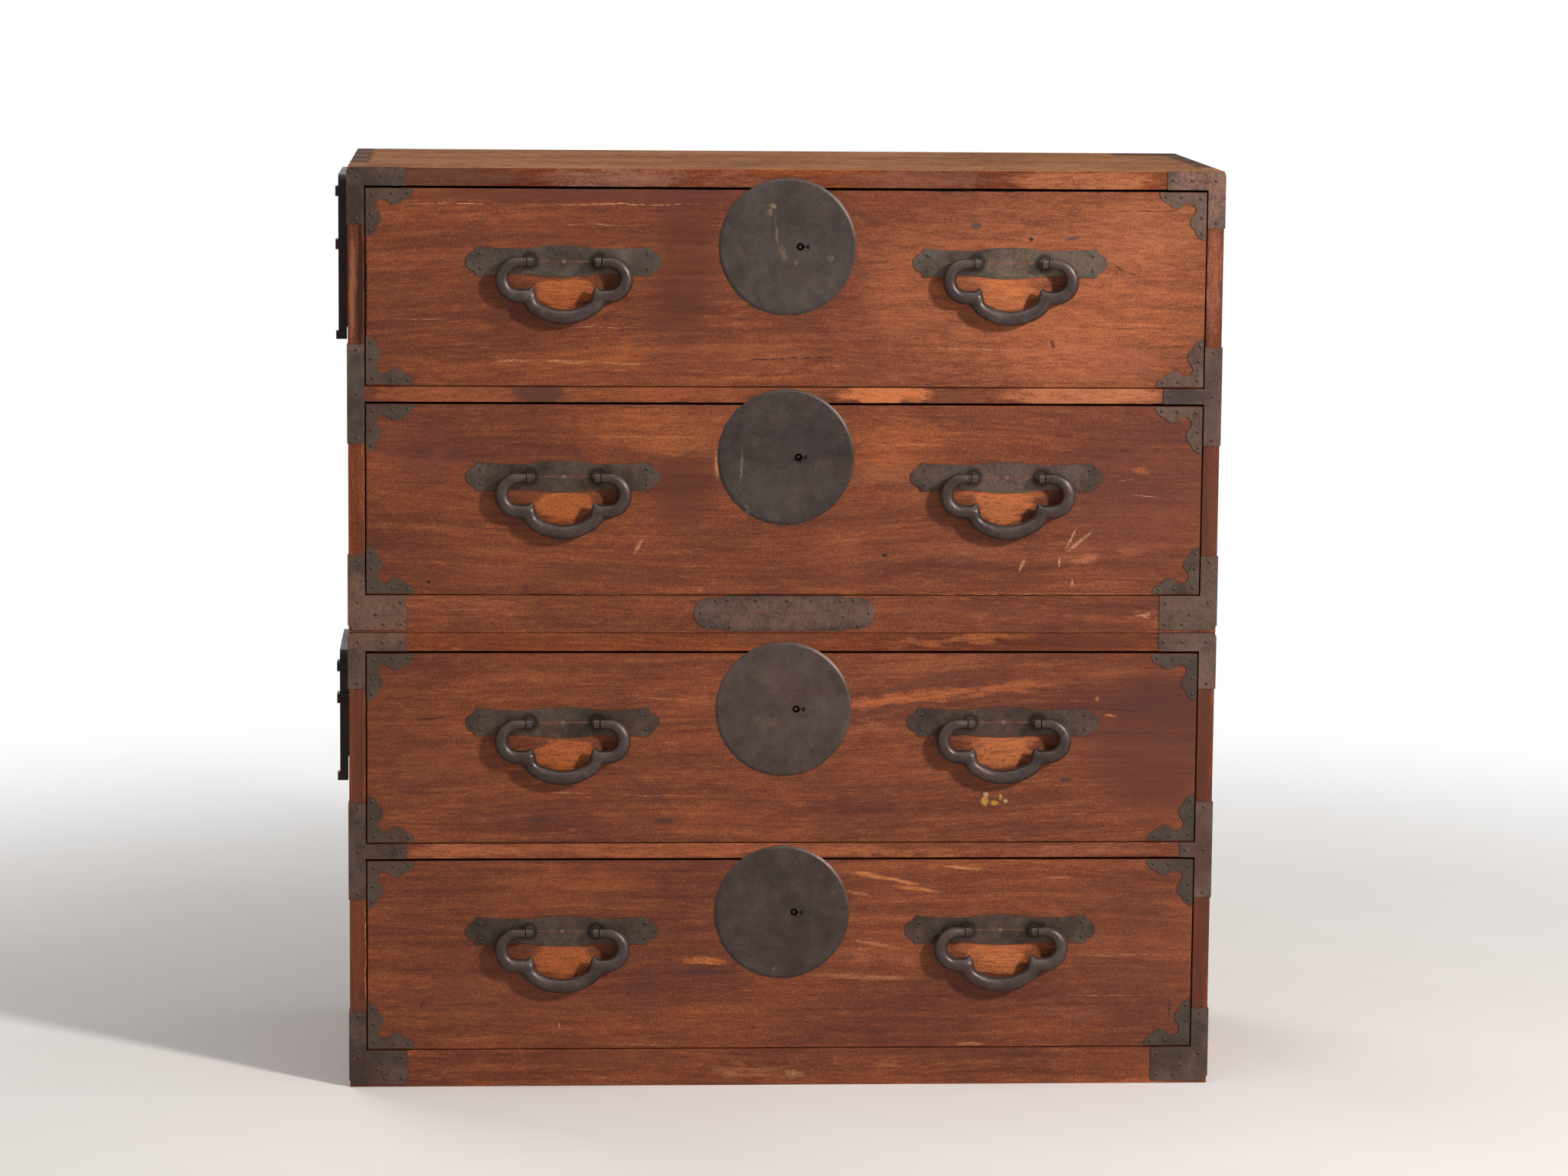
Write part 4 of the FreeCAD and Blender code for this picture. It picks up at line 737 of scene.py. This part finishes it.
SIDE_MARKS = {
    "lower": [
        (5, 260, 4, 30, 0, 0.6, ORANGE, 0.3), (1048, 400, 18, 140, 0, 0.4, rgb(66, 38, 33), 1.15),
        (1048, 170, 18, 120, 0, 0.4, rgb(76, 42, 35), 1.1),
        (8, 430, 18, 130, 0, 0.5, rgb(76, 42, 36), 1),
        (8, 160, 18, 130, 0, 0.5, rgb(84, 46, 38), 0.7)],
    "upper": [
        (1048, 1000, 14, 90, 0, 0.6, rgb(160, 98, 76), 0.9),
        (1048, 740, 18, 130, 0, 0.4, rgb(86, 51, 44), 0.9),
        (4, 567, 90, 3, 0, 0.4, rgb(80, 60, 52), 1)],
}
SIDE_LINES = {
    "lower": [
        (19.4, 50, 19.4, 285, 2, rgb(190, 120, 84), 1),
        (2, 20, 2, 540, 1.5, rgb(150, 92, 66), 0.5)],
    "upper": [
        # painted shade: the dark line at 15.5 mm beside the gap next to drawer 1
        (15.5, 868, 15.5, 1104, 9, rgb(52, 29, 22), 3), (6, 895, 6, 1066, 9, rgb(142, 88, 60), 1.8),
        (19, 620, 19, 845, 1.6, rgb(160, 98, 70), 0.6)],
}
SHELF_MARKS = {
    "lower": [
        (250, 295, 30, 12, 0, 0.6, rgb(84, 50, 42), 0.85),
        (400, 298, 360, 14, 0, 0.5, rgb(180, 100, 60), 0.8),
        (700, 292, 160, 6, 0, 0.7, rgb(192, 112, 66), 0.6),
        (135, 294, 90, 12, 0, 0.6, rgb(180, 104, 66), 0.9),
        (900, 294, 110, 10, 0, 0.6, rgb(160, 94, 66), 0.7)],
    "upper": [
        (231, 857, 36, 14, 0, 0.4, rgb(62, 40, 39), 1.35),
        (115, 857, 100, 15, 0, 0.4, rgb(158, 88, 52), 0.9),
        (390, 857, 140, 14, 0, 0.5, rgb(166, 88, 48), 0.65),
        (650, 857, 64, 15, 0, 0.4, rgb(214, 124, 72), 1.5),
        (738, 857, 24, 10, 0, 0.5, rgb(104, 64, 46), 0.8),
        (797, 857, 7, 5, 0, 0.6, rgb(78, 54, 48), 0.9),
        (890, 857, 115, 17, 0, 0.3, rgb(188, 114, 76), 1.3), (60, 860, 12, 3, 0, 0.6, BLACK, 0.8),
        (30, 858, 8, 3, 0, 0.6, BLACK, 0.7)],
}
RAIL_MARKS = {
    "lower": [
        (330, 34, 120, 14, 0, 0.8, rgb(84, 48, 38), 0.6),
        (490, 18, 60, 10, 0, 0.7, rgb(180, 118, 74), 0.6),
        (548, 12, 18, 8, 0, 0.7, rgb(190, 144, 98), 0.7),
        (660, 24, 26, 6, 0, 0.7, rgb(176, 138, 66), 0.4),
        (110, 14, 70, 8, 4, 0.7, rgb(142, 84, 52), 0.5),
        (700, 38, 260, 8, 0, 0.8, rgb(76, 44, 36), 0.6)],
    "upper": [
        (150, 600, 90, 10, 0, 0.8, rgb(146, 88, 62), 0.4), (975, 587, 16, 2, 0, 0.6, PALE, 0.7),
        (352, 614, 9, 3, 0, 0.6, SAND, 0.6), (760, 590, 140, 12, 0, 0.8, rgb(104, 60, 46), 0.5)],
}
RAIL_LINES = {
    "lower": [
        (70, 10, 150, 24, 1.6, SAND, 0.4), (300, 10, 320, 11, 3, PALE, 0.6)],
    "upper": [
        (75, 590, 220, 597, 1.4, PALE, 0.4), (90, 600, 230, 603, 1.2, PALE, 0.35),
        (80, 584, 200, 586, 1.2, PALE, 0.3), (955, 587, 990, 588, 2, PALE, 0.6)],
}
TOP_MARKS = {
    "lower": [
        (740, 556, 110, 7, 3, 0.6, rgb(184, 108, 62), 0.8),
        (230, 556, 220, 10, 0, 0.6, rgb(104, 56, 38), 0.5),
        (525, 556, 90, 9, 0, 0.6, rgb(92, 62, 52), 0.7),
        (905, 556, 110, 10, 0, 0.6, rgb(84, 50, 42), 0.95)],
    "upper": [
        (130, 1118, 110, 16, 0, 0.5, rgb(100, 68, 56), 1.3),
        (320, 1118, 110, 16, 0, 0.5, rgb(146, 104, 86), 1.2),
        (470, 1118, 60, 12, 0, 0.6, rgb(144, 92, 72), 1),
        (680, 1118, 140, 15, 0, 0.6, rgb(124, 84, 72), 0.9),
        (890, 1118, 115, 16, 0, 0.5, rgb(180, 114, 80), 1.2),
        (740, 1122, 80, 3, 0, 0.7, rgb(118, 74, 54), 0.6)],
}
TOP_LOOKS = {
    "lower": dict(seed=71, wear=0.5, gloom=0.5, rough=(0.6, 0.75), spec=0.1),
    "upper": dict(seed=72, wear=0.6, gloom=0.35, rough=(0.7, 0.85), spec=0.04, dusty=True),
}
for prefix, seed in (("lower", 51), ("upper", 61)):
    dress(prefix + "_side_boards",
          wood(prefix + "_side_wood", seed, "z", wear=0.4, gloom=0.6, marks=SIDE_MARKS[prefix],
               lines=SIDE_LINES[prefix], dusty=True, spec=0.14), CASE_EASE)
    dress(prefix + "_shelf", wood(prefix + "_shelf_wood", seed + 1, wear=0.7, gloom=0.2,
                                  marks=SHELF_MARKS[prefix]), CASE_EASE)
    dress(prefix + "_base_rails", wood(prefix + "_rail_wood", seed + 2, wear=0.4, gloom=0.5,
                                       marks=RAIL_MARKS[prefix], lines=RAIL_LINES[prefix]),
          CASE_EASE)
    dress(prefix + "_bottom_board", inner_x)
    dress(prefix + "_back_panel", back)
for prefix, look in TOP_LOOKS.items():
    dress(prefix + "_top_board", wood(prefix + "_top_wood", marks=TOP_MARKS[prefix], **look),
          CASE_EASE)


# Irons: their tones and marks, the marks placed as on the wood

SHEET_THICK = 0.0012
PLATE_THICK = 0.0014
FLAT_TONES = dict(dark=rgb(62, 51, 46), mid=rgb(82, 66, 59), light=rgb(101, 82, 73))
CORNER_TONES = dict(dark=rgb(58, 48, 43), mid=rgb(78, 65, 58), light=rgb(98, 82, 73))
BAIL_TONES = dict(dark=rgb(52, 43, 40), mid=rgb(68, 56, 53), light=rgb(84, 71, 67))
POLE_TONES = dict(dark=rgb(24, 19, 17), mid=rgb(34, 27, 25), light=rgb(50, 41, 38))
PALE_PLATE = dict(dark=rgb(62, 53, 48), mid=rgb(80, 69, 61), light=rgb(98, 86, 76))
DARK_PLATE = dict(dark=rgb(54, 44, 39), mid=rgb(71, 58, 51), light=rgb(89, 75, 66))
PLATE_TONES = {1: PALE_PLATE, 2: DARK_PLATE, 3: DARK_PLATE, 4: DARK_PLATE}
LOCK_TONES = {
    1: dict(dark=rgb(60, 51, 48), mid=rgb(69, 60, 57), light=rgb(80, 70, 67)),
    2: dict(dark=rgb(54, 46, 43), mid=rgb(64, 55, 52), light=rgb(75, 66, 62)),
    3: dict(dark=rgb(64, 53, 49), mid=rgb(75, 62, 57), light=rgb(86, 73, 67)),
    4: dict(dark=rgb(57, 47, 44), mid=rgb(67, 56, 52), light=rgb(78, 67, 62)),
}
FLAT_MARKS = [
    # painted highlight: the top-right corner iron lighter where it catches the light
    (1035, 1105, 50, 50, 0, 0.5, rgb(142, 104, 90), 0.6),
    (540, 590, 130, 24, 0, 0.4, rgb(116, 86, 74), 0.6),
    (1020, 440, 70, 120, 0, 0.3, rgb(112, 84, 72), 0.7),
    (30, 590, 80, 60, 0, 0.4, rgb(122, 88, 72), 0.7),
    (1020, 740, 70, 260, 0, 0.3, rgb(104, 80, 68), 0.6),
    (530, 40, 540, 60, 0, 0.2, rgb(66, 56, 50), 0.6),
    (1012, 856, 40, 12, 0, 0.3, rgb(56, 48, 50), 0.9),
    (8, 1080, 14, 34, 0, 0.3, rgb(46, 34, 28), 0.7), (8, 855, 14, 60, 0, 0.3, rgb(50, 48, 50), 0.5),
    (1048, 850, 14, 60, 0, 0.3, rgb(70, 58, 56), 0.5),
    (1048, 295, 16, 56, 0, 0.3, rgb(86, 46, 38), 0.5)]
CORNER_MARKS = [
    (1010, 960, 90, 360, 0, 0.3, rgb(104, 80, 69), 0.6),
    (1010, 250, 90, 350, 0, 0.3, rgb(62, 54, 48), 0.7),
    (50, 565, 90, 900, 0, 0.3, rgb(78, 62, 52), 0.7)]
PLATE_MARKS = {
    1: [
        (835, 1017, 95, 25, 0, 0.4, rgb(112, 95, 82), 0.65),
        (355, 1017, 24, 22, 0, 0.5, rgb(58, 48, 44), 0.6)],
    2: [
        (800, 757, 130, 25, 0, 0.4, rgb(102, 86, 78), 0.55)],
}
LOCK_MARKS = {
    1: [
        (511, 1086, 7, 5, 0, 0.7, rgb(148, 122, 100), 0.75),
        (508, 1078, 5, 6, 0, 0.7, rgb(140, 114, 94), 0.6),
        (516, 1054, 2, 26, 3, 0.8, rgb(136, 112, 92), 0.6),
        (524, 1028, 5, 14, 12, 0.8, rgb(132, 106, 86), 0.5),
        (540, 1018, 4, 5, 0, 0.8, rgb(128, 104, 86), 0.4),
        (582, 1023, 5, 5, 0, 0.7, rgb(112, 100, 88), 0.5)],
    2: [
        (476, 770, 2.5, 26, 0, 0.8, rgb(136, 120, 104), 0.55),
        # painted shade: the black spot at 545 mm darkens the edge of the keyhole slot
        (483, 715, 2, 12, 0, 0.8, rgb(130, 112, 98), 0.5), (545, 777, 9, 5, 0, 0.5, BLACK, 0.95),
        (560, 800, 40, 30, 0, 0.9, rgb(56, 50, 52), 0.4)],
    3: [
        (540, 500, 60, 40, 0, 0.9, rgb(92, 70, 66), 0.4)],
    4: [
        (520, 148, 3, 5, 0, 0.8, rgb(120, 106, 96), 0.5),
        (500, 220, 30, 50, 0, 0.9, rgb(84, 66, 62), 0.4)],
}
flat = iron("flat_iron", 5, FLAT_TONES, 0.4, marks=FLAT_MARKS, face=SHEET_THICK)
corner = iron("corner_iron", 13, CORNER_TONES, 0.4, marks=CORNER_MARKS, face=SHEET_THICK)
bail = iron("bail_iron", 9, BAIL_TONES, 0.2, rough=(0.31, 0.43), metal=0.55)
black = iron("pole_iron", 17, POLE_TONES, 0.15, rough=(0.4, 0.6), metal=0.4)
for prefix in ("lower", "upper"):
    dress(prefix + "_case_irons", flat)
    dress(prefix + "_pole_guides", black)
    for side in ("left", "right"):
        dress("%s_pole_iron_%s" % (prefix, side), black)
for n, height in HANDLE_Z.items():
    dress("drawer_%d_lock" % n, iron("lock_iron_%d" % n, n * 3 + 2, LOCK_TONES[n], 0.12,
                                     rough=(0.4, 0.52), marks=LOCK_MARKS[n]))
    dress("drawer_%d_bolt" % n, bail)
    dress("drawer_%d_handle_mounts" % n,
          iron("plate_iron_%d" % n, n * 2 + 7, PLATE_TONES[n], 0.3, marks=PLATE_MARKS.get(n, ()),
               face=PLATE_THICK, post_z=height))
    dress("drawer_%d_corner_irons" % n, corner)
    for side in ("left", "right"):
        forge("drawer_%d_bail_%s" % (n, side), bail, height)


# Floor, light and background

FLOOR_HALF = 9
FADE_START, FADE_END = 1.0, 2.8
SOFT_LIGHT = (1.0, 0.97, 0.94, 1)
SOFT_STRENGTH = 0.06


def make_floor():
    """Pale floor that keeps the shadow and fades into the white background far from the chest."""
    mesh = bpy.data.meshes.new("floor")
    corners = [(-1, -1), (1, -1), (1, 1), (-1, 1)]
    mesh.from_pydata([(x * FLOOR_HALF, y * FLOOR_HALF, 0) for x, y in corners], [],
                     [(0, 1, 2, 3)])
    floor = bpy.data.objects.new("floor", mesh)
    p = Paint("floor_paint")
    cloud = p.noise(p.where, 2.2, 3.0)
    colour = p.ramp(cloud, [(0.3, rgb(244, 239, 235)), (0.7, rgb(248, 244, 241))])
    mesh.materials.append(p.finish(colour, 0.75, Specular_IOR_Level=0.1))
    white = p.node("Emission")
    away = p.fit(p.vector("LENGTH", p.where), FADE_START, FADE_END)
    seen = p.times(away, p.node("LightPath").outputs["Is Camera Ray"])
    blend = p.node("MixShader")
    p.feed(blend.inputs[0], seen)
    p.feed(blend.inputs[1], p.shader.outputs[0])
    p.feed(blend.inputs[2], white.outputs[0])
    p.feed(p.tree.nodes["Material Output"].inputs["Surface"], blend.outputs[0])
    scene.collection.objects.link(floor)


def lamp(name, place, target, size, watts, colour=(1, 1, 1)):
    data = bpy.data.lights.new(name, "AREA")
    data.size = size
    data.energy = watts
    data.color = colour
    light = bpy.data.objects.new(name, data)
    light.location = place
    light.rotation_euler = (Vector(target) - Vector(place)).to_track_quat("-Z", "Y").to_euler()
    scene.collection.objects.link(light)


def make_world():
    """White where it is seen, straight or in iron's gloss, and a weak warm light elsewhere."""
    world = bpy.data.worlds.new("Studio")
    world.use_nodes = True
    tree = world.node_tree
    white = tree.nodes["Background"]
    white.inputs["Color"].default_value = (1, 1, 1, 1)
    white.inputs["Strength"].default_value = 1.0
    soft = tree.nodes.new("ShaderNodeBackground")
    soft.inputs["Color"].default_value = SOFT_LIGHT
    soft.inputs["Strength"].default_value = SOFT_STRENGTH
    path = tree.nodes.new("ShaderNodeLightPath")
    seen = path.outputs["Is Camera Ray"]
    for name in ("Is Glossy Ray", "Is Transmission Ray"):
        either = tree.nodes.new("ShaderNodeMath")
        either.operation = "MAXIMUM"
        tree.links.new(seen, either.inputs[0])
        tree.links.new(path.outputs[name], either.inputs[1])
        seen = either.outputs[0]
    blend = tree.nodes.new("ShaderNodeMixShader")
    tree.links.new(seen, blend.inputs[0])
    tree.links.new(soft.outputs[0], blend.inputs[1])
    tree.links.new(white.outputs[0], blend.inputs[2])
    tree.links.new(blend.outputs[0], tree.nodes["World Output"].inputs["Surface"])
    scene.world = world


make_floor()
make_world()
lamp("Key", (3.2, -3.4, 2.7), (0, 0, 0.6), size=0.45, watts=235, colour=(1.0, 0.97, 0.94))
lamp("Fill", (-3.0, -3.6, 1.8), (0, 0, 0.6), size=3.0, watts=8, colour=(0.95, 0.97, 1.0))
lamp("Top", (0, -0.6, 4.2), (0, 0, 0.5), size=3.0, watts=55)
lamp("Back", (-2.4, 3.4, 2.6), (0, 0, 0.6), size=3.0, watts=70)
scene.view_settings.view_transform = "Standard"
